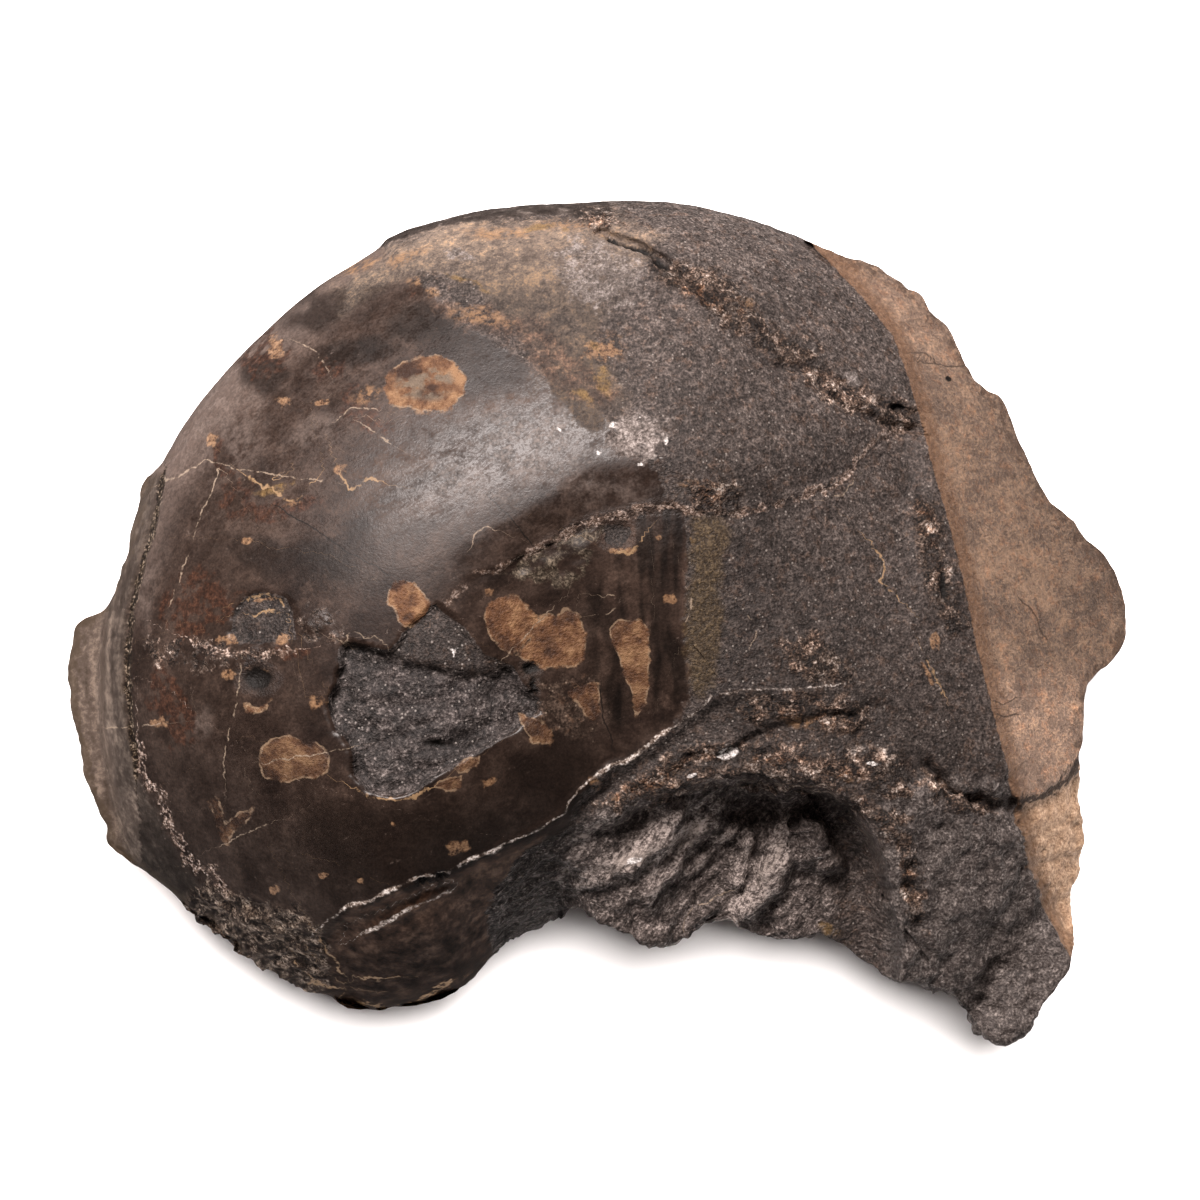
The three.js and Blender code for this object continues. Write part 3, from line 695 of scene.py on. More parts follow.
def rock_surface():
    """Points in millimetres of the plan, triangles, plan place for the marks, and the share underneath."""
    turn, out = round_square()
    rim = outline_points(4 * CELLS)
    plan = blend(np.array(MESH_MIDDLE), at_turn(rim, turn), out[:, None])
    height = top_height(plan[:, 0], plan[:, 1], out)
    triangles, ring = grid_triangles(height)
    points = [np.column_stack([plan, height])]
    marks = [plan]
    under = [np.zeros(len(plan))]
    rim_plan, rim_height = plan[ring], height[ring]
    even_plan, even_height = evened(rim_plan), evened(rim_height)
    count = len(plan)
    steps = sum(BELLY_RINGS)
    for step in range(1, steps + FACET_RINGS):
        level = min(step, steps) * math.pi / 2 / steps
        share = math.cos(level) ** (2 / BELLY_POWER) if step < steps else 0
        inward = (step - steps) / FACET_RINGS if step > steps else 0
        out_share = (FACET_REACH + (1 - FACET_REACH) * share) * (1 - inward)
        spacing = 1 if step <= BELLY_RINGS[0] else 2 if step <= sum(BELLY_RINGS[:2]) else 4
        evenness = float(soft_step(1 - out_share, 0, 0.3))
        edge = blend(rim_plan, even_plan, evenness)[::spacing]
        base = blend(rim_height, even_height, evenness)[::spacing]
        spot = blend(np.array(FACET_MIDDLE), edge, out_share)
        low = base * (1 - math.sin(level)) if step < steps else np.zeros(len(base))
        points.append(np.column_stack([spot, low]))
        marks.append(rim_plan[::spacing])
        under.append(np.full(len(spot), step / (steps + FACET_RINGS)))
        inner = np.arange(count, count + len(spot))
        triangles.append(band(ring, inner))
        count += len(spot)
        ring = inner
    points.append(np.array([[*FACET_MIDDLE, 0.0]]))
    marks.append(np.array([FACET_MIDDLE]))
    under.append(np.ones(1))
    triangles.append(np.column_stack([np.full(len(ring), count), np.roll(ring, -1), ring]))
    return np.vstack(points), np.vstack(triangles), np.vstack(marks), np.concatenate(under)


def surface_normals(points, triangles):
    """Sum of the normals of the triangles round each point, made one unit long."""
    a, b, c = (points[triangles[:, k]] for k in range(3))
    flat = np.cross(b - a, c - a)
    total = np.zeros_like(points)
    for corner in range(3):
        for axis in range(3):
            total[:, axis] += np.bincount(triangles[:, corner], flat[:, axis], len(points))
    return total / np.linalg.norm(total, axis=1)[:, None]


def read_marks(points, plan, under):
    """Named values for the material: distances in millimetres, + inside an area, or shares from 0 to 1.
    Edges wander with the height too, and under the rim the marks fade, because their plan ends there."""
    spot = np.column_stack([plan, 0.6 * points[:, 2]])
    x = plan[:, 0] + 0.16 * wobble(spot, 1.6, seed=1)
    y = plan[:, 1] + 0.16 * wobble(spot, 1.6, seed=2)
    broad_x = plan[:, 0] + 1.3 * wobble(spot, 5, seed=11, octaves=4)
    broad_y = plan[:, 1] + 1.3 * wobble(spot, 5, seed=12, octaves=4)
    mid_x, mid_y = blend(x, broad_x, 0.45), blend(y, broad_y, 0.45)
    off, _, side = nearest(CREST, plan[:, 0], plan[:, 1])
    step_off, _, step_side = nearest(JOINT_STEP, x, y)
    coil = np.hypot(plan[:, 0] - UMBILICUS[0], 1.2 * (plan[:, 1] - UMBILICUS[1]))
    way = np.arctan2(plan[:, 1] - UMBILICUS[1], plan[:, 0] - UMBILICUS[0])
    along_coil = np.column_stack([1.6 * coil, 9 * way, np.zeros(len(way))])
    marks = {
        "shell": depth_inside(SHELL, blend(x, broad_x, 0.25), y),
        "ochre": depth_inside(OCHRE, broad_x, broad_y),
        "red_band": depth_inside(RED_BAND, mid_x, mid_y),
        "olive": depth_inside(OLIVE_BAND, blend(x, broad_x, 0.3), y),
        "left_strip": depth_inside(LEFT_STRIP, x, y),
        "under_rim": depth_inside(UNDER_RIM, x, y),
        "edge_crust": depth_inside(EDGE_CRUST, mid_x, mid_y),
        "joint": off * np.where(side > 0, 1, -1),
        "joint_low": step_off * np.where((step_side < 0) & (plan[:, 0] > 32.5), 1, -1),
        "rim": depth_inside(OUTLINE, plan[:, 0], plan[:, 1]),
        "broken": depth_inside(BREAK_AREA, x, y),
        "bare": in_any((BARE_PATCH, SMALL_PATCH), x, y),
        "smooth_bare": in_any((SMOOTH_BARE, SMALL_PATCH), x, y),
        "muddy": depth_inside(RIGHT_BARE, blend(mid_x, broad_x, 0.5), blend(mid_y, broad_y, 0.5)),
        "pit": depth_inside(GREY_PIT, x, y),
        "tan_spot": in_any(TAN_SPOTS, x, y),
        "tan_dot": in_spots(TAN_DOTS, x, y),
        "hole": in_spots(HOLES, x, y),
        "white_spot": in_spots(WHITE_SPOTS, x, y),
        "ridge": lit_ridge_faces(x, y),
        "flap": depth_inside(SHELL_FLAP, x, y),
        "pearly": in_spots(PEARLY_PARTS, x, y),
        "scuffs_and_highlight": in_spots(PAINTED_HIGHLIGHT_SPOTS, broad_x, broad_y),
        "red": in_spots(RED_STAINS, broad_x, broad_y),
        "orange": in_spots(ORANGE_STAINS, mid_x, mid_y),
        "pale_rock_and_lit_faces": in_spots(PALE_ROCK_AND_LIT_FACES, mid_x, mid_y),
        "yellow": in_spots(YELLOW_STAINS, broad_x, broad_y),
        "pale_and_lit": in_spots(PALE_STAINS_AND_LIGHT, broad_x, broad_y),
        "dark_and_shade": in_spots(DARK_STAINS_AND_SHADE, broad_x, broad_y),
        "crust": in_any(CRUSTS, mid_x, mid_y),
        "scales": depth_inside(SCALES, x, y),
        "suture": beside([SUTURE], x, y),
        "groove": beside([GROOVE], x, y),
        "nacre": beside([NACRE_RIM, LOWER_NACRE], x, y),
        "crumb_line": beside(CRUMB_LINES, x, y),
        "pale_line": beside(PALE_LINES, x, y),
        "ochre_line": beside(OCHRE_LINES, x, y),
        "dark_line": beside(DARK_LINES, x, y),
        "clouds": wobble(spot, 3.4, seed=31, octaves=4),
        "wide_clouds": wobble(spot, 11, seed=32, octaves=3),
        "coil_clouds": wobble(along_coil, 3.0, seed=33, octaves=4),
        "across": plan[:, 0],
        "away": plan[:, 1],
        "under": under,
    }
    hidden = soft_step(under + 0.05 * wobble(spot, 7, seed=13) * (under > 0), 0.01, 0.10)
    areas = ("tan_spot", "bare", "smooth_bare", "pit", "tan_dot", "hole", "white_spot", "yellow", "orange")
    stains = ("ochre", "red_band", "olive", "left_strip", "under_rim", "edge_crust", "pale_and_lit", "dark_and_shade", "red")
    for name in (*areas, *stains, "pale_rock_and_lit_faces", "crust", "scales", "flap", "pearly", "scuffs_and_highlight", "muddy"):
        marks[name] = blend(marks[name], -3.0, hidden)
    for name in ("crumb_line", "pale_line", "ochre_line", "dark_line", "suture", "nacre"):
        marks[name] = blend(marks[name], 3.0, hidden)
    return marks


def roughness_depth(points, marks):
    """How far each point moves along its normal: noise and crumbs, weighted by what the stone is there."""
    under = soft_step(marks["under"], 0.02, 0.12)
    joint = soft_step(marks["joint"], 0, 0.3)
    joint_low = joint * soft_step(marks["joint_low"], 0, 0.5)
    shell = soft_step(marks["shell"], -0.2, 0.4) * (1 - joint)
    shell *= 1 - soft_step(marks["edge_crust"], -0.3, 0.3)
    bare = soft_step(marks["bare"], 0, 0.5) * (1 - soft_step(marks["smooth_bare"], -0.3, 0.3))
    broken = soft_step(marks["broken"], 0, 0.8)
    x, y = marks["across"], marks["away"]
    block = soft_step(x, 21, 25) * (1 - soft_step(y, -14, -10)) * (1 - joint) * (1 - soft_step(x, 34.5, 36))
    coarse = np.clip(broken * (1 - 0.8 * soft_step(x, 18, 20)) + block, 0, 1)
    crust = soft_step(marks["crust"], -0.2, 0.5)
    fine = wobble(points, 1.3, seed=21, octaves=4)
    middle = wobble(points, 3.2, seed=22, octaves=4)
    depth = 0.06 * fine * (1 - shell) + 0.012 * middle * shell
    depth += bare * 0.24 * wobble(points * (0.7, 1.3, 1), 1.1, seed=23, octaves=3)
    facets = creases(points * (1, 0.8, 1), 2.6, seed=27)
    slant = wobble(slanted(points), 1.1, seed=25, octaves=4)
    depth += coarse * (0.25 * middle + 0.2 * fine + 0.18 * facets + 0.2 * slant)
    depth += joint_low * 0.2 * wobble(points, 1.0, seed=24, octaves=3)
    folds = creases(points, 1.5, seed=26)
    suture = hump(marks["suture"], 0.6) * soft_step(x, -6, -1) * (1 - soft_step(x, 6, 9))
    depth += (crust + 0.35 * suture + 0.4 * block) * (0.16 * folds + 0.12 * fine + 0.15 * middle)
    depth += soft_step(marks["edge_crust"], -0.3, 0.6) * (0.25 * fine + 0.3 * middle + 0.2 * folds)
    depth += soft_step(marks["scales"], -0.2, 0.3) * 0.12 * folds
    depth -= 0.5 * soft_step(marks["hole"], 0, 0.6) * (marks["joint"] < 0)
    depth = blend(depth, np.minimum(depth, 0) + 0.3 * (middle - 1), under)
    facet = soft_step(marks["under"], 0.78, 0.86)
    return depth * (1 - facet)


def place_in_frame(points):
    """Draws each point in or out for its height, and puts the box's middle over the origin, in metres."""
    nearer = 1 - (points[:, 2:] - PLAN_LEVEL) / EYE_ABOVE_PLAN
    placed = points.copy()
    placed[:, :2] = EYE + (points[:, :2] - EYE) * nearer
    middle = (placed.min(0) + placed.max(0)) / 2
    middle[2] = 0
    return (placed - middle) * MM, middle * MM


def make_fossil():
    """The rock's closed mesh with its marks as attributes; also says how far the plan was moved."""
    points, triangles, plan, under = rock_surface()
    marks = read_marks(points, plan, under)
    points += surface_normals(points, triangles) * roughness_depth(points, marks)[:, None]
    points[:, 2] = np.maximum(points[:, 2], 0)
    placed, moved = place_in_frame(points)
    mesh = bpy.data.meshes.new("fossil_rock")
    mesh.from_pydata(placed, [], triangles)
    for name, values in marks.items():
        mesh.attributes.new(name, "FLOAT", "POINT").data.foreach_set("value", values.astype(np.float32))
    mesh.polygons.foreach_set("use_smooth", np.ones(len(triangles), bool))
    mesh.update()
    fossil = bpy.data.objects.new("fossil_rock", mesh)
    bpy.context.scene.collection.objects.link(fossil)
    return fossil, moved


# Finish of the stone

class Finish:
    """Short names for the nodes of one material."""

    def __init__(self, name):
        self.material = bpy.data.materials.new(name)
        self.material.use_nodes = True
        self.tree = self.material.node_tree
        self.shader = self.tree.nodes["Principled BSDF"]
        self.place = self.node("ShaderNodeTexCoord").outputs["Object"]
        self.marks = {}

    def node(self, kind, **settings):
        """A new node of that kind with those settings."""
        made = self.tree.nodes.new(kind)
        for name, value in settings.items():
            setattr(made, name, value)
        return made

    def set(self, socket, value):
        """Links a socket into another one, or gives it a plain number or colour."""
        if isinstance(value, bpy.types.NodeSocket):
            self.tree.links.new(value, socket)
        else:
            socket.default_value = (*value, 1) if socket.type == "RGBA" else value

    def mark(self, name):
        """A mark's value on the surface, read once."""
        if name not in self.marks:
            self.marks[name] = self.node("ShaderNodeAttribute", attribute_name=name).outputs["Fac"]
        return self.marks[name]

    def moved_place(self, seed, stretch, turn):
        """The object's own place, moved for the seed, turned in degrees and drawn out by the stretch."""
        start = (seed * 0.137, seed * 0.071, seed * 0.043)
        if not turn and stretch == (1, 1, 1):
            moved = self.node("ShaderNodeVectorMath", operation="SUBTRACT")
            self.set(moved.inputs[0], self.place)
            self.set(moved.inputs[1], start)
            return moved.outputs["Vector"]
        mapping = self.node("ShaderNodeMapping", vector_type="TEXTURE")
        self.set(mapping.inputs["Vector"], self.place)
        mapping.inputs["Location"].default_value = start
        mapping.inputs["Rotation"].default_value = (0, 0, math.radians(turn))
        mapping.inputs["Scale"].default_value = stretch
        return mapping.outputs["Vector"]

    def spots_of(self, size, seed=0, detail=3, rough=0.55, stretch=(1, 1, 1), turn=0, twist=0.0):
        """Noise about 0.5 whose blotches are that many millimetres across, or longer by the stretch."""
        noise = self.node("ShaderNodeTexNoise")
        self.set(noise.inputs["Vector"], self.moved_place(seed, stretch, turn))
        noise.inputs["Scale"].default_value = 1 / (size * MM)
        noise.inputs["Detail"].default_value = detail
        noise.inputs["Roughness"].default_value = rough
        noise.inputs["Distortion"].default_value = twist
        return noise.outputs["Fac"]

    def grains_of(self, size, seed=0):
        """Distance from the middle of the nearest grain, and a chance from 0 to 1 that each grain has."""
        cells = self.node("ShaderNodeTexVoronoi")
        self.set(cells.inputs["Vector"], self.moved_place(seed, (1, 1, 1), 0))
        cells.inputs["Scale"].default_value = 1 / (size * MM)
        chance = self.node("ShaderNodeSeparateColor")
        self.set(chance.inputs["Color"], cells.outputs["Color"])
        return cells.outputs["Distance"], chance.outputs["Red"]

    def step(self, value, low, high):
        """0 at low, 1 at high, smooth between and flat beyond; low may be the larger one."""
        made = self.node("ShaderNodeMapRange", interpolation_type="SMOOTHSTEP")
        self.set(made.inputs["Value"], value)
        made.inputs["From Min"].default_value = min(low, high)
        made.inputs["From Max"].default_value = max(low, high)
        made.inputs["To Min"].default_value = 0 if low < high else 1
        made.inputs["To Max"].default_value = 1 if low < high else 0
        return made.outputs["Result"]

    def maths(self, operation, a, b=0.0, c=0.0):
        """One step of arithmetic on up to three values."""
        made = self.node("ShaderNodeMath", operation=operation)
        for socket, value in zip(made.inputs, (a, b, c)):
            self.set(socket, value)
        return made.outputs["Value"]

    def summed(self, *parts):
        """0.5 and, for each noise, what it has over 0.5 times its weight."""
        result = 0.5 - 0.5 * sum(weight for _, weight in parts)
        for noise, weight in parts:
            result = self.maths("MULTIPLY_ADD", noise, weight, result)
        return result

    def both(self, *values):
        """All values multiplied."""
        result = values[0]
        for value in values[1:]:
            result = self.maths("MULTIPLY", result, value)
        return result

    def added(self, *values):
        """All values added."""
        result = values[0]
        for value in values[1:]:
            result = self.maths("ADD", result, value)
        return result

    def mix(self, share, a, b):
        """Colour a at share 0, b at share 1."""
        made = self.node("ShaderNodeMix", data_type="RGBA")
        self.set(made.inputs["Factor"], share)
        self.set(made.inputs[6], a)
        self.set(made.inputs[7], b)
        return made.outputs[2]

    def value_mix(self, share, a, b):
        """Value a at share 0, b at share 1."""
        made = self.node("ShaderNodeMix", data_type="FLOAT")
        self.set(made.inputs["Factor"], share)
        self.set(made.inputs[2], a)
        self.set(made.inputs[3], b)
        return made.outputs[0]

    def ramp(self, value, *stops):
        """Colour for a value, given as places and colours with straight blends between."""
        made = self.node("ShaderNodeValToRGB")
        self.set(made.inputs["Fac"], value)
        elements = made.color_ramp.elements
        while len(elements) < len(stops):
            elements.new(1)
        for element, (spot, colour) in zip(elements, stops):
            element.position = spot
            element.color = (*colour, 1)
        return made.outputs["Color"]

    def times(self, colour, amount):
        """Colour times one amount, or times an amount each for red, green and blue."""
        for_each = isinstance(amount, tuple)
        made = self.node("ShaderNodeVectorMath", operation="MULTIPLY" if for_each else "SCALE")
        self.set(made.inputs[0], colour)
        self.set(made.inputs[1] if for_each else made.inputs["Scale"], amount)
        return made.outputs["Vector"]

    def edge(self, name, wander, soft=0.1, reach=0.5):
        """Area of a mark, 1 inside, whose edge the wandering value moves by up to a reach in millimetres."""
        shift = self.maths("MULTIPLY", wander, 4 * reach)
        return self.step(self.added(self.mark(name), shift), -soft, soft)

    def near(self, name, width, wander=None, reach=0.0):
        """Line along a mark, 1 on it and 0 at width millimetres to either side."""
        off = self.mark(name)
        if wander:
            off = self.added(off, self.maths("MULTIPLY", wander, 4 * reach))
        return self.step(self.maths("ABSOLUTE", off), width, width * 0.35)


def fossil_finish():
    """Dark polished shell, grainy matrix, ochre stains, rusty crusts, pearly rims and the tan joint face."""
    f = Finish("fossil_stone")
    speck = f.spots_of(0.19, 2, detail=2)
    fine = f.spots_of(0.42, 3, detail=3, rough=0.7)
    small = f.spots_of(1.3, 4, detail=4, rough=0.6)
    patch = f.spots_of(3.2, 5, detail=3, rough=0.65)
    tint = f.spots_of(0.9, 6, detail=3, rough=0.7)
    creased = f.spots_of(0.52, 10, detail=4, rough=0.72, twist=1.6)
    lumps = f.spots_of(1.2, 14, detail=4, rough=0.66)
    strokes = f.spots_of(0.5, 11, detail=4, rough=0.75, stretch=(1, 3, 1), turn=-60, twist=1.0)
    streaks = f.spots_of(0.4, 12, detail=3, rough=0.7, stretch=(1, 3.6, 1), turn=-40, twist=0.9)
    posts = f.spots_of(1.3, 13, detail=2, stretch=(1, 9, 1))
    wander = f.maths("SUBTRACT", f.spots_of(0.8, 9, detail=3), 0.5)
    grain, grain_chance = f.grains_of(0.26, 7)
    clouds, wide, coil = f.mark("clouds"), f.mark("wide_clouds"), f.mark("coil_clouds")
    across, away = f.mark("across"), f.mark("away")
    # Glint: a few grains painted bright, painted glints.
    glint = f.both(f.step(grain_chance, 0.90, 0.96), f.step(grain, 0.42, 0.2))
    broken_up = f.step(small, 0.42, 0.56)

    # Matrix: grey-brown mudstone, grain by grain, in warmer and greyer blotches
    matrix = f.ramp(
        f.summed((fine, 1.0), (speck, 1.0), (small, 0.5)),
        (0.24, (0.014, 0.0105, 0.009)), (0.44, (0.037, 0.029, 0.0255)),
        (0.58, (0.066, 0.052, 0.046)), (0.80, (0.150, 0.122, 0.108)),
    )
    matrix = f.mix(f.both(f.step(tint, 0.50, 0.68), 0.7), matrix, f.times(matrix, (1.24, 1.0, 0.82)))
    matrix = f.times(matrix, f.value_mix(f.step(f.added(wide, f.both(clouds, 0.6)), -1.0, 1.0), 0.80, 1.14))
    matrix = f.times(matrix, f.value_mix(f.step(away, 0, 24), 0.80, 1.22))
    # Painted glints on a few grains.
    matrix = f.mix(f.both(glint, 0.75), matrix, (0.27, 0.24, 0.215))

    # Shell: dark brown, cloudy along the coil, brushed with fine strokes, darker low down, painted sheen
    # higher up
    shell = f.ramp(
        f.added(f.summed((strokes, 0.6), (patch, 0.9)), f.both(coil, 0.22)),
        (0.2, (0.015, 0.009, 0.0068)), (0.5, (0.032, 0.020, 0.015)), (0.85, (0.066, 0.044, 0.034)),
    )
    cloudy = f.both(f.step(small, 0.50, 0.66), f.step(patch, 0.40, 0.60), 0.6)
    shell = f.mix(cloudy, shell, (0.080, 0.052, 0.039))
    # Darker further down.
    shell = f.times(shell, f.value_mix(f.step(away, -18, 2), 0.68, 0.80))
    # Lighter higher up: a painted sheen.
    shell = f.times(shell, f.added(1.0, f.both(f.step(away, 4, 18), 0.35)))
    low_down = f.added(f.mark("under"), f.both(f.added(clouds, wide), 0.05), f.both(wander, 0.1))
    in_sight = f.maths("MAXIMUM", f.step(low_down, 0.16, 0.04), f.step(f.mark("under"), 0.012, 0.0))
    # Paler band along the upper rim: a painted reflection.
    painted_rim_reflection = f.both(f.step(f.mark("rim"), 4.5, 0.3), f.step(away, -4, 10), in_sight, 0.6)
    shell = f.mix(painted_rim_reflection, shell, (0.15, 0.112, 0.094))
    # Pale stains, and painted light: sheen along the upper left rim and a lift over a shaded slope above the
    # suture.
    pale_and_lit = f.both(f.step(f.mark("pale_and_lit"), -0.1, 0.7), f.step(small, 0.34, 0.58), 0.5)
    shell = f.mix(pale_and_lit, shell, f.times((0.115, 0.087, 0.073), f.value_mix(strokes, 0.6, 1.4)))
    # Dark stains, and painted shade where the spots reach under the break's lip and into its hollow.
    shell = f.mix(f.both(f.step(f.mark("dark_and_shade"), -0.1, 0.5), 0.75), shell, (0.0105, 0.0066, 0.005))
    # Pale grey mottles where the lamp's highlight falls: a painted highlight, broken up by strokes.
    painted_highlight = f.step(f.added(f.mark("scuffs_and_highlight"), f.both(wander, 1.2)), -0.1, 0.6)
    painted_highlight = f.both(painted_highlight, f.step(f.summed((strokes, 1.0), (small, 0.8)), 0.40, 0.66), 0.75)
    hairs = f.step(f.summed((fine, 1.0), (strokes, 1.0)), 0.3, 0.7)
    shell = f.mix(painted_highlight, shell, f.times((0.112, 0.098, 0.090), f.value_mix(hairs, 0.15, 1.8)))
    red = f.ramp(
        fine, (0.32, (0.018, 0.008, 0.005)), (0.55, (0.044, 0.018, 0.010)), (0.72, (0.088, 0.038, 0.021)),
    )
    in_red = f.step(f.added(f.mark("red"), f.both(wander, 1.2), f.both(clouds, 0.15)), 0.0, 0.35)
    shell = f.mix(f.both(in_red, f.step(small, 0.40, 0.54), 0.8), shell, red)
    under_suture = f.both(f.step(across, -1.5, 1), f.step(f.mark("suture"), 0.1, -0.4))
    under_suture = f.both(under_suture, f.step(away, -9.5, -7))
    posts_tone = f.value_mix(f.step(posts, 0.38, 0.60), 0.45, 1.5)
    shell = f.times(shell, f.value_mix(under_suture, 1.0, posts_tone))
    shell = f.times(shell, f.value_mix(f.step(f.summed((fine, 0.6), (speck, 0.6)), 0.36, 0.64), 0.76, 1.26))
    scratches = f.both(f.step(strokes, 0.63, 0.70), f.step(speck, 0.45, 0.6), 0.35)
    shell = f.mix(scratches, shell, (0.15, 0.115, 0.095))
    on_shell = f.edge("shell", wander, 0.25, 0.4)
    colour = f.mix(on_shell, matrix, shell)

    # Ochre, rusty and olive stains over both
    ochre = f.ramp(
        f.added(f.summed((small, 0.7), (fine, 0.9), (tint, 0.5), (speck, 0.6)), f.both(coil, 0.12)),
        (0.22, (0.062, 0.046, 0.037)), (0.44, (0.118, 0.089, 0.070)),
        (0.60, (0.185, 0.136, 0.098)), (0.80, (0.325, 0.213, 0.125)),
    )
    ochre = f.times(ochre, f.value_mix(f.step(away, 24, 32), 0.50, 1.28))
    ochre_depth = f.added(f.mark("ochre"), f.both(clouds, 1.2), f.both(wander, 2.0))
    ochre_share = f.both(f.step(ochre_depth, -0.9, 1.3), f.value_mix(f.step(patch, 0.35, 0.60), 0.72, 0.98))
    colour = f.mix(ochre_share, colour, ochre)
    red_band = f.ramp(
        f.summed((fine, 0.8), (small, 0.8), (speck, 0.5)),
        (0.28, (0.020, 0.012, 0.009)), (0.50, (0.060, 0.038, 0.028)),
        (0.66, (0.135, 0.080, 0.054)), (0.80, (0.25, 0.16, 0.11)),
    )
    in_red_band = f.edge("red_band", wander, 0.5, 0.5)
    colour = f.mix(f.both(in_red_band, f.value_mix(f.step(tint, 0.40, 0.55), 0.45, 0.95)), colour, red_band)
    orange_tone = f.summed((fine, 0.7), (small, 0.7))
    orange = f.ramp(orange_tone, (0.3, (0.09, 0.043, 0.020)), (0.7, (0.31, 0.18, 0.09)))
    orange_share = f.step(f.added(f.mark("orange"), f.both(wander, 1.8)), -0.2, 0.8)
    patchy = f.step(f.summed((small, 0.8), (fine, 0.8)), 0.38, 0.56)
    colour = f.mix(f.both(orange_share, patchy, 0.8), colour, orange)
    olive = f.ramp(
        f.summed((fine, 0.9), (speck, 0.8)),
        (0.26, (0.019, 0.013, 0.0075)), (0.50, (0.050, 0.034, 0.019)), (0.78, (0.150, 0.106, 0.056)),
    )
    olive_share = f.step(f.added(f.mark("olive"), f.both(clouds, 0.5), wander), -0.4, 0.5)
    colour = f.mix(f.both(olive_share, 0.88), colour, olive)
    rock = f.ramp(
        f.summed((creased, 1.0), (lumps, 0.9), (speck, 0.6)),
        (0.28, (0.036, 0.029, 0.025)), (0.50, (0.135, 0.113, 0.102)), (0.75, (0.36, 0.32, 0.30)),
    )
    rock = f.times(rock, f.value_mix(f.step(away, 14, 24), 1.5, 0.95))
    rock_and_lit_share = f.step(f.added(f.mark("pale_rock_and_lit_faces"), f.both(wander, 1.6)), 0.0, 0.4)
    colour = f.mix(f.both(rock_and_lit_share, f.step(small, 0.30, 0.50), 0.85), colour, rock)

    # Greyer strip and ledge on the left, brown underside of the rim, crust along the low edge
    strip = f.ramp(
        f.summed((posts, 0.7), (small, 0.6), (fine, 0.6), (strokes, 0.4)),
        (0.22, (0.030, 0.022, 0.016)), (0.50, (0.076, 0.058, 0.047)), (0.78, (0.21, 0.165, 0.130)),
    )
    strip = f.times(strip, f.value_mix(f.step(f.mark("groove"), -0.4, -2.6), 0.60, 1.4))
    strip = f.times(strip, f.value_mix(f.step(away, -22, -12), 0.42, 1.0))
    strip = f.mix(f.both(f.near("rim", 0.7, wander, 0.5), 0.7), strip, (0.060, 0.043, 0.028))
    colour = f.mix(f.both(f.edge("left_strip", wander, 0.3, 0.3), 0.88), colour, strip)
    rim_brown = f.ramp(
        f.summed((small, 1.0), (fine, 0.6)),
        (0.30, (0.014, 0.009, 0.006)), (0.52, (0.058, 0.030, 0.018)), (0.76, (0.150, 0.086, 0.052)),
    )
    rim_brown = f.times(rim_brown, f.value_mix(f.step(away, -29, -22), 0.5, 1.1))
    colour = f.mix(f.both(f.edge("under_rim", wander, 0.4, 0.3), 0.9), colour, rim_brown)
    crusty = f.ramp(
        f.summed((creased, 1.4), (lumps, 0.9), (speck, 0.6)),
        (0.30, (0.006, 0.0045, 0.004)), (0.48, (0.032, 0.023, 0.018)),
        (0.62, (0.125, 0.090, 0.066)), (0.80, (0.40, 0.32, 0.25)),
    )
    colour = f.mix(f.both(f.edge("edge_crust", wander, 0.3, 0.6), f.step(small, 0.30, 0.46)), colour, crusty)
    flap = f.ramp(
        f.summed((small, 1.0), (fine, 0.7)),
        (0.34, (0.020, 0.014, 0.011)), (0.58, (0.046, 0.034, 0.028)), (0.74, (0.13, 0.105, 0.09)),
    )
    colour = f.mix(f.edge("flap", wander, 0.10, 0.06), colour, flap)

    # Bare patches: rough grey stone, with painted glints on a few grains
    bare = f.ramp(
        f.summed((fine, 1.0), (speck, 0.7), (strokes, 0.4)),
        (0.30, (0.008, 0.0062, 0.0056)), (0.46, (0.030, 0.0240, 0.0222)),
        (0.60, (0.070, 0.059, 0.055)), (0.78, (0.24, 0.207, 0.195)),
    )
    bare = f.times(bare, f.value_mix(f.step(f.summed((lumps, 1.0), (patch, 0.9)), 0.40, 0.60), 0.55, 1.25))
    bare = f.mix(f.both(glint, 0.7), bare, (0.36, 0.325, 0.30))
    smooth_bare = f.mix(f.both(glint, 0.6), f.times(matrix, 0.8), (0.3, 0.27, 0.25))
    bare = f.mix(f.edge("smooth_bare", wander, 0.3, 0.3), bare, smooth_bare)
    in_bare = f.edge("bare", wander, 0.08, 0.12)
    colour = f.mix(in_bare, colour, bare)
    muddy = f.both(f.edge("muddy", wander, 0.5, 0.6), broken_up, 0.9)
    colour = f.mix(muddy, colour, f.times(matrix, (0.95, 0.82, 0.70)))
    in_pit = f.edge("pit", wander, 0.1, 0.2)
    colour = f.mix(in_pit, colour, f.times(matrix, 0.8))

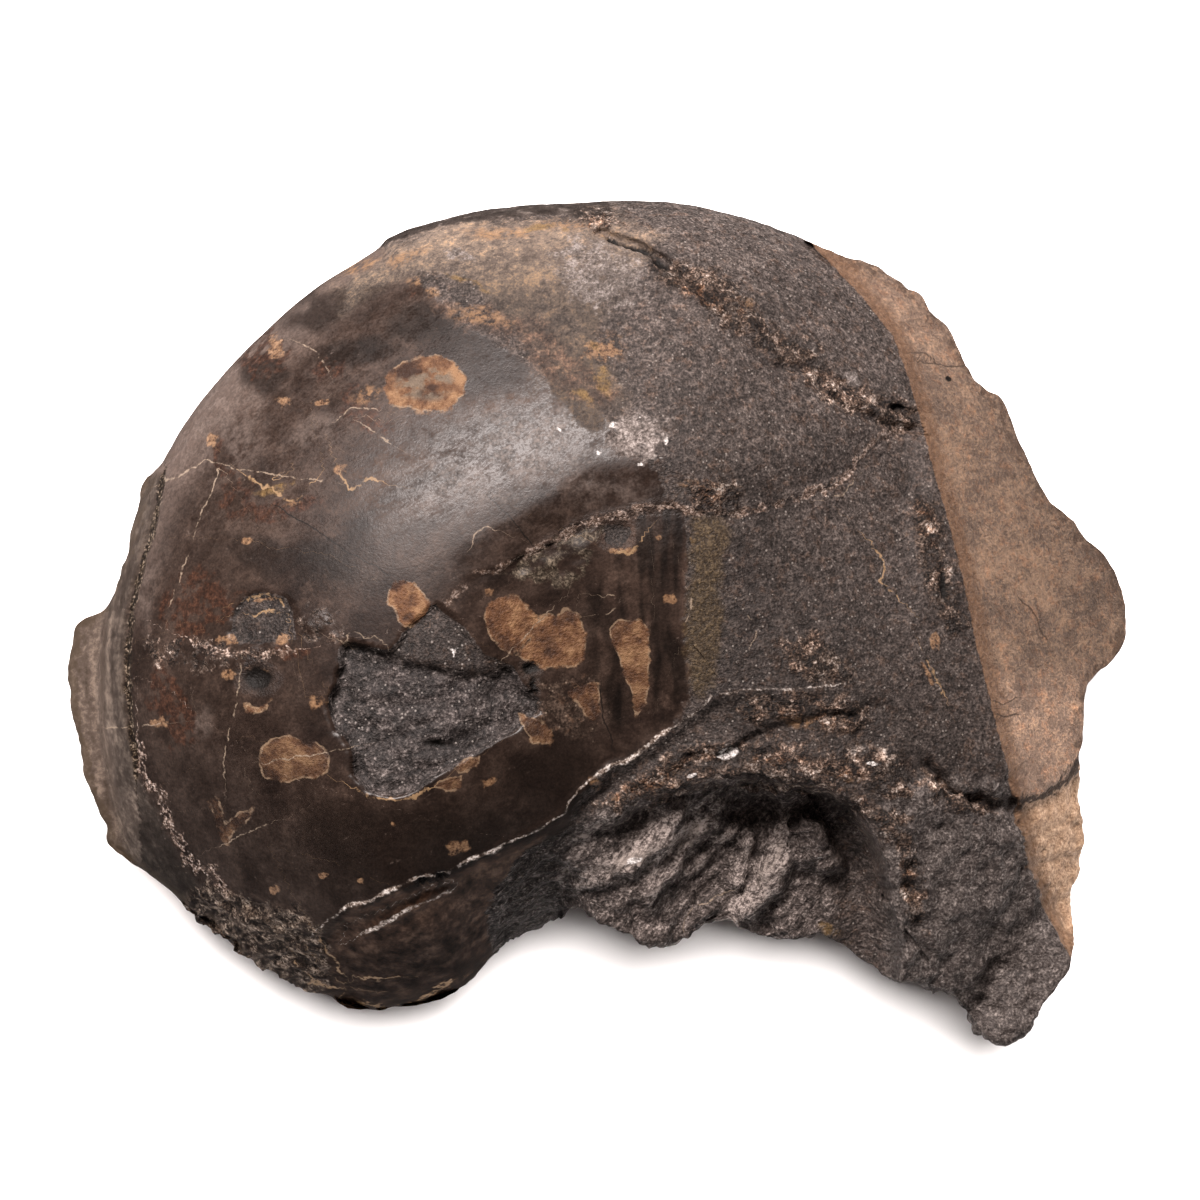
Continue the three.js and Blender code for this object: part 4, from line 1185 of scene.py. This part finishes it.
    # Tan remnants on the shell: rusty orange at the edge, greyer inside, darker below, with a thin pale rim
    tan = f.ramp(
        f.summed((fine, 0.45), (small, 1.2), (patch, 1.5), (speck, 0.25)),
        (0.24, (0.064, 0.024, 0.010)), (0.50, (0.200, 0.092, 0.041)), (0.78, (0.42, 0.236, 0.118)),
    )
    grey_tan = f.ramp(
        f.summed((small, 1.0), (fine, 0.6)), (0.3, (0.12, 0.088, 0.062)), (0.7, (0.28, 0.208, 0.146)),
    )
    tan = f.mix(f.both(f.step(f.mark("tan_spot"), 0.5, 1.2), f.step(away, 12, 16), broken_up), tan, grey_tan)
    tan = f.times(tan, f.value_mix(f.step(away, -13, -2), 0.32, 0.66))
    tan = f.times(tan, f.value_mix(f.step(across, -12, 2), 1.12, 0.84))
    tan = f.times(tan, f.value_mix(f.step(away, 6, 16), 1.0, 0.88))
    crumbly = f.added(wander, f.maths("SUBTRACT", fine, 0.5))
    in_tan = f.edge("tan_spot", crumbly, 0.14, 0.15)
    colour = f.mix(f.both(in_tan, f.value_mix(f.step(patch, 0.38, 0.52), 0.60, 0.97)), colour, tan)
    tan_rim = f.both(f.near("tan_spot", 0.11, wander, 0.15), f.step(small, 0.44, 0.58), 0.5)
    colour = f.mix(tan_rim, colour, (0.32, 0.225, 0.145))
    in_dot = f.step(f.added(f.mark("tan_dot"), f.both(wander, 2.4)), -0.05, 0.4)
    dot = f.ramp(
        f.summed((fine, 1.0), (speck, 0.6)), (0.34, (0.080, 0.038, 0.020)), (0.66, (0.31, 0.185, 0.10)),
    )
    colour = f.mix(f.both(in_dot, f.step(fine, 0.32, 0.46), 0.85), colour, dot)

    # Break: streaked stone, painted light on ridge faces, painted shade under the lip, a hollow painted
    # lighter
    # The ridge mark makes the ridges' faces towards the lamp lighter: painted light.
    stone = f.ramp(
        f.added(
            f.summed((streaks, 0.9), (creased, 0.8), (fine, 0.5), (speck, 0.5)),
            f.both(f.mark("ridge"), 0.14),
        ),
        (0.28, (0.014, 0.0105, 0.009)), (0.46, (0.055, 0.043, 0.038)),
        (0.60, (0.130, 0.106, 0.096)), (0.76, (0.38, 0.325, 0.295)),
    )
    # Painted shade under the lip.
    painted_lip_shade = f.both(f.step(f.mark("broken"), 3.6, 1.2), f.step(across, 0, 5))
    stone = f.times(stone, f.value_mix(painted_lip_shade, 1.0, 0.85))
    stone = f.times(stone, f.value_mix(f.step(across, -3, 4), 0.52, 1.0))
    # Smooth matrix in the hollow, painted lighter to lift the shade that falls there.
    hollow_painted_lighter = f.step(f.added(across, f.both(wander, 1.5)), 18.4, 19.4)
    hollow_painted_lighter = f.both(hollow_painted_lighter, f.step(across, 24.5, 22.5))
    stone = f.mix(f.both(hollow_painted_lighter, 0.88), stone, f.times(matrix, 1.5))
    block_stone = f.ramp(
        f.summed((creased, 0.9), (fine, 0.6), (speck, 0.6)),
        (0.26, (0.014, 0.011, 0.010)), (0.46, (0.054, 0.044, 0.040)),
        (0.60, (0.125, 0.107, 0.098)), (0.80, (0.33, 0.29, 0.265)),
    )
    block = f.both(f.step(f.added(across, wander), 22.4, 23.6), f.step(f.added(away, wander), -12.0, -13.6))
    block = f.both(block, 0.9)
    colour = f.mix(block, colour, block_stone)
    in_break = f.edge("broken", wander, 0.15, 0.3)
    colour = f.mix(in_break, colour, f.mix(block, stone, block_stone))
    # Pale faces where these spots lie on the break: painted light on the ridges' lit faces.
    painted_lit_faces = f.both(rock_and_lit_share, f.step(f.mark("broken"), 0.5, 1.5), f.step(streaks, 0.36, 0.56), 0.7)
    colour = f.mix(painted_lit_faces, colour, (0.30, 0.255, 0.225))
    yellow_share = f.step(f.added(f.mark("yellow"), f.both(wander, 1.2)), 0.0, 0.6)
    yellow = f.ramp(
        f.summed((fine, 0.8), (speck, 0.7)), (0.3, (0.070, 0.040, 0.014)), (0.7, (0.25, 0.155, 0.055)),
    )
    colour = f.mix(f.both(yellow_share, f.step(small, 0.40, 0.56), 0.8), colour, yellow)

    # Crusts of rusty and pinkish crumbs with dark gaps, pale scales
    rust = f.ramp(
        f.summed((lumps, 1.4), (creased, 1.0), (speck, 0.7)),
        (0.28, (0.006, 0.0045, 0.004)), (0.45, (0.030, 0.020, 0.015)), (0.58, (0.098, 0.067, 0.050)),
        (0.70, (0.25, 0.190, 0.155)), (0.86, (0.66, 0.58, 0.52)),
    )
    rust = f.times(rust, f.value_mix(f.step(f.added(patch, f.both(clouds, 0.06)), 0.40, 0.58), 0.5, 1.1))
    rusty = f.step(f.added(f.mark("orange"), f.both(wander, 1.4)), -0.9, 0.4)
    rusty = f.both(f.value_mix(rusty, 0.3, 1.0), f.step(tint, 0.44, 0.60))
    rust = f.mix(rusty, rust, f.times(rust, (1.2, 0.88, 0.64)))
    crust_depth = f.added(f.mark("crust"), f.both(wander, 3.2), f.both(f.maths("SUBTRACT", small, 0.5), 2.6))
    sparse = f.value_mix(f.step(across, -17, -12), broken_up, 1.0)
    crust_gaps = f.step(f.summed((lumps, 0.7), (patch, 0.7)), 0.34, 0.44)
    in_crust = f.both(f.step(crust_depth, -0.5, 0.35), crust_gaps, sparse)
    colour = f.mix(in_crust, colour, rust)
    scale_tone = f.ramp(
        f.summed((creased, 1.2), (speck, 0.4)),
        (0.34, (0.012, 0.009, 0.006)), (0.52, (0.060, 0.047, 0.034)), (0.74, (0.26, 0.210, 0.155)),
    )
    colour = f.mix(f.both(f.edge("scales", wander, 0.2, 0.5), broken_up, 0.9), colour, scale_tone)

    # Pearly, pinkish and ochre lines, dark cracks and holes
    pearl = f.ramp(
        f.summed((fine, 1.0), (speck, 0.7)),
        (0.34, (0.05, 0.034, 0.026)), (0.50, (0.30, 0.24, 0.20)), (0.66, (0.90, 0.84, 0.79)),
    )
    fading = f.step(across, 5.0, 0.0)
    nacre_share = f.value_mix(fading, f.both(broken_up, 0.45), f.both(f.step(small, 0.36, 0.50), 0.6))
    colour = f.mix(f.both(f.near("nacre", 0.12, wander, 0.16), nacre_share), colour, pearl)
    bright_part = f.step(f.added(f.mark("pearly"), f.both(wander, 1.5)), -0.1, 0.4)
    colour = f.mix(f.both(f.near("nacre", 0.26, wander, 0.14), bright_part), colour, pearl)
    pink = f.ramp(
        f.summed((creased, 1.2), (speck, 0.6)),
        (0.32, (0.030, 0.020, 0.015)), (0.50, (0.17, 0.112, 0.083)), (0.70, (0.56, 0.46, 0.40)),
    )
    middle_part = f.both(f.step(across, -6.0, -1.5), f.step(across, 20.0, 16.0))
    suture_share = f.value_mix(f.step(across, -4, -1), f.both(broken_up, 0.6), f.step(fine, 0.33, 0.45))
    suture_share = f.both(suture_share, f.value_mix(f.step(across, 20, 23), 1.0, 0.45))
    suture_share = f.both(suture_share, f.value_mix(middle_part, 1.0, f.step(lumps, 0.36, 0.50)))
    colour = f.mix(f.both(f.near("suture", 0.36, wander, 0.42), suture_share), colour, pink)
    in_crumbs = f.both(f.near("crumb_line", 0.36, wander, 0.6), f.step(fine, 0.42, 0.54))
    colour = f.mix(in_crumbs, colour, pink)
    pale_share = f.both(f.near("pale_line", 0.075, wander, 0.15), f.step(small, 0.40, 0.52))
    colour = f.mix(f.both(pale_share, f.step(fine, 0.30, 0.55), 0.8), colour, (0.29, 0.225, 0.165))
    ochre_line = f.both(f.near("ochre_line", 0.14, wander, 0.3), f.step(small, 0.40, 0.52), 0.85)
    colour = f.mix(ochre_line, colour, (0.30, 0.195, 0.105))
    groove = f.ramp(
        f.summed((fine, 1.0), (speck, 0.8)),
        (0.44, (0.008, 0.006, 0.005)), (0.58, (0.050, 0.035, 0.022)), (0.72, (0.30, 0.235, 0.175)),
    )
    colour = f.mix(f.both(f.near("groove", 0.32, wander, 0.14), 0.95), colour, groove)
    colour = f.mix(f.both(f.near("dark_line", 0.08, wander, 0.08), 0.85), colour, (0.008, 0.006, 0.005))
    white = f.ramp(
        f.summed((fine, 0.8), (speck, 0.8)),
        (0.34, (0.20, 0.18, 0.17)), (0.50, (0.50, 0.47, 0.45)), (0.66, (0.85, 0.83, 0.81)),
    )
    in_white = f.step(f.added(f.mark("white_spot"), f.both(wander, 1.6)), 0.0, 0.3)
    colour = f.mix(f.both(in_white, f.step(fine, 0.36, 0.46)), colour, white)

    # Joint face: tan and grey-brown clouds, an orange strip along the crest, a dark step and a coarser end
    face = f.ramp(
        f.added(
            f.summed((small, 0.6), (fine, 0.7), (speck, 0.6), (creased, 0.4)),
            f.both(clouds, 0.13), f.both(wide, 0.10),
        ),
        (0.20, (0.076, 0.050, 0.037)), (0.48, (0.150, 0.101, 0.072)), (0.80, (0.335, 0.215, 0.136)),
    )
    face = f.mix(f.both(f.step(tint, 0.5, 0.66), 0.7), face, f.times(face, (1.12, 0.92, 0.78)))
    face_light = f.added(1.0, f.both(f.step(away, 14, 26), 0.55), f.both(f.step(away, -2, -8), 1.2))
    face = f.times(face, face_light)
    face = f.times(face, f.value_mix(f.step(across, 29, 40), 0.82, 0.72))
    face = f.mix(f.both(f.near("rim", 1.0, wander, 0.9), broken_up, 0.8), face, (0.062, 0.038, 0.026))
    low_face = f.ramp(
        f.summed((fine, 0.7), (speck, 0.6), (creased, 0.4)),
        (0.24, (0.14, 0.085, 0.050)), (0.44, (0.35, 0.222, 0.136)),
        (0.60, (0.54, 0.365, 0.236)), (0.80, (0.76, 0.58, 0.42)),
    )
    face = f.mix(f.edge("joint_low", wander, 0.15, 0.3), face, low_face)
    strip_share = f.both(f.step(f.added(f.mark("joint"), f.both(wander, 1.5)), 1.6, 0.5), 0.8)
    orange_strip = f.ramp(fine, (0.32, (0.080, 0.039, 0.019)), (0.68, (0.175, 0.096, 0.052)))
    face = f.mix(strip_share, face, orange_strip)
    step_shade = f.both(f.near("joint_low", 0.42, wander, 0.5), f.step(across, 32.8, 33.8), 0.85)
    face = f.mix(step_shade, face, (0.030, 0.020, 0.014))
    colour = f.mix(f.edge("joint", wander, 0.06, 0.10), colour, face)
    face_crack = f.both(f.near("dark_line", 0.09, wander, 0.10), f.step(f.mark("joint"), 0.0, 0.2), 0.7)
    colour = f.mix(face_crack, colour, (0.03, 0.018, 0.012))
    # Holes painted nearly black: painted shade in them.
    in_hole = f.step(f.added(f.mark("hole"), f.both(wander, 0.8)), 0.0, 0.4)
    colour = f.mix(in_hole, colour, (0.0065, 0.005, 0.004))

    # Low down on the hidden flank, plain matrix
    colour = f.mix(in_sight, f.mix(0.9, colour, matrix), colour)
    f.set(f.shader.inputs["Base Color"], colour)

    # Polish on the whole shell, rough stone elsewhere, and a fine relief
    round_holes = f.maths("MAXIMUM", f.step(f.mark("hole"), -0.7, -0.1), f.step(f.mark("pit"), -0.7, -0.2))
    near_suture = f.both(f.near("suture", 0.9), f.step(across, -6, -2), f.step(across, 9, 6))
    in_ochre, in_joint = f.step(ochre_share, 0.3, 0.8), f.step(f.mark("joint"), -0.1, 0.1)
    dull = in_bare
    for share in (in_tan, in_crust, in_break, round_holes, near_suture, rock_and_lit_share, in_ochre, in_joint):
        dull = f.maths("MAXIMUM", dull, share)
    gloss = f.both(on_shell, f.maths("SUBTRACT", 1.0, dull))
    polished = f.value_mix(f.step(away, 2, 12), 0.35, 0.44)
    scuffs_and_highlight = f.maths("SUBTRACT", f.summed((strokes, 0.8), (small, 0.6), (speck, 0.5)), 0.5)
    scuffs_and_highlight = f.both(scuffs_and_highlight, f.value_mix(f.step(away, 2, 12), 0.15, 1.2))
    polished = f.maths("MAXIMUM", f.added(polished, scuffs_and_highlight), 0.33)
    f.set(f.shader.inputs["Roughness"], f.value_mix(gloss, 0.62, polished))
    f.shader.inputs["Specular IOR Level"].default_value = 0.3

    bump = f.node("ShaderNodeBump")
    bump.inputs["Distance"].default_value = 0.10 * MM
    crumpled = f.added(
        f.both(f.step(f.mark("crust"), -0.5, 0.4), 3.0), f.both(f.step(f.mark("broken"), -0.2, 0.2), 1.8),
    )
    heights = f.added(f.both(fine, f.added(1.8, crumpled)), f.both(speck, 1.0))
    f.set(bump.inputs["Height"], heights)
    f.set(bump.inputs["Strength"], f.value_mix(gloss, 0.9, f.value_mix(f.step(away, 4, 14), 0.08, 0.11)))
    f.set(f.shader.inputs["Normal"], bump.outputs["Normal"])
    return f.material


# Stage

def make_floor():
    """Plain white ground, 3 m square, which the polish doesn't mirror."""
    half = 1.5
    mesh = bpy.data.meshes.new("floor")
    corners = [(-half, -half, 0), (half, -half, 0), (half, half, 0), (-half, half, 0)]
    mesh.from_pydata(corners, [], [(0, 1, 2, 3)])
    floor = bpy.data.objects.new("floor", mesh)
    bpy.context.scene.collection.objects.link(floor)
    white = bpy.data.materials.new("white_ground")
    white.use_nodes = True
    white.node_tree.nodes["Principled BSDF"].inputs["Base Color"].default_value = (0.9, 0.9, 0.9, 1)
    white.node_tree.nodes["Principled BSDF"].inputs["Roughness"].default_value = 0.9
    mesh.materials.append(white)
    floor.visible_glossy = False
    return floor


def add_lamp(name, azimuth, elevation, distance, width, height, watts, tone=(1, 1, 1), only_for=None):
    """Soft lamp that looks at the fossil; azimuth runs anticlockwise from +X, in degrees."""
    lamp = bpy.data.lights.new(name, "AREA")
    lamp.shape = "RECTANGLE"
    lamp.size = width
    lamp.size_y = height
    lamp.energy = watts
    lamp.color = tone
    holder = bpy.data.objects.new(name, lamp)
    turn, rise = math.radians(azimuth), math.radians(elevation)
    x = distance * math.cos(rise) * math.cos(turn)
    y = distance * math.cos(rise) * math.sin(turn)
    holder.location = (x, y, distance * math.sin(rise))
    holder.rotation_euler = (math.pi / 2 - rise, 0, turn + math.pi / 2)
    bpy.context.scene.collection.objects.link(holder)
    if only_for:
        lit = bpy.data.collections.new(name + "_lights")
        lit.objects.link(only_for)
        holder.light_linking.receiver_collection = lit


WARM = (1.0, 0.90, 0.865)
WARM_WHITE = (1.0, 0.94, 0.92)
SURROUND = (1, 0.86, 0.82, 1)
SURROUND_STRENGTH = 0.075


def make_light(floor):
    """A soft panel beyond the fossil, a lamp overhead that keeps the ground white, and a dim surround."""
    add_lamp(
        "far_panel", azimuth=111, elevation=54, distance=1.2, width=0.7, height=0.25, watts=31, tone=WARM,
    )
    add_lamp(
        "ground_lamp", azimuth=76, elevation=78.5, distance=1.4, width=0.5, height=0.5, watts=68,
        tone=WARM_WHITE, only_for=floor,
    )
    world = bpy.data.worlds.new("surround")
    world.use_nodes = True
    world.node_tree.nodes["Background"].inputs["Color"].default_value = SURROUND
    world.node_tree.nodes["Background"].inputs["Strength"].default_value = SURROUND_STRENGTH
    bpy.context.scene.world = world
    bpy.context.scene.view_settings.view_transform = "Standard"


def make_camera(moved):
    """Looks straight down from the eye that the plan was drawn from."""
    camera = bpy.data.cameras.new("camera")
    camera.sensor_width = 36
    camera.lens = camera.sensor_width * EYE_ABOVE_PLAN / VIEW_WIDTH
    holder = bpy.data.objects.new("camera", camera)
    x, y = EYE * MM - moved[:2]
    holder.location = (x, y, (PLAN_LEVEL + EYE_ABOVE_PLAN) * MM)
    bpy.context.scene.collection.objects.link(holder)
    bpy.context.scene.camera = holder


fossil, moved = make_fossil()
fossil.data.materials.append(fossil_finish())
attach(fossil, "root")
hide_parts("nautiloid_fossil")
make_light(make_floor())
make_camera(moved)
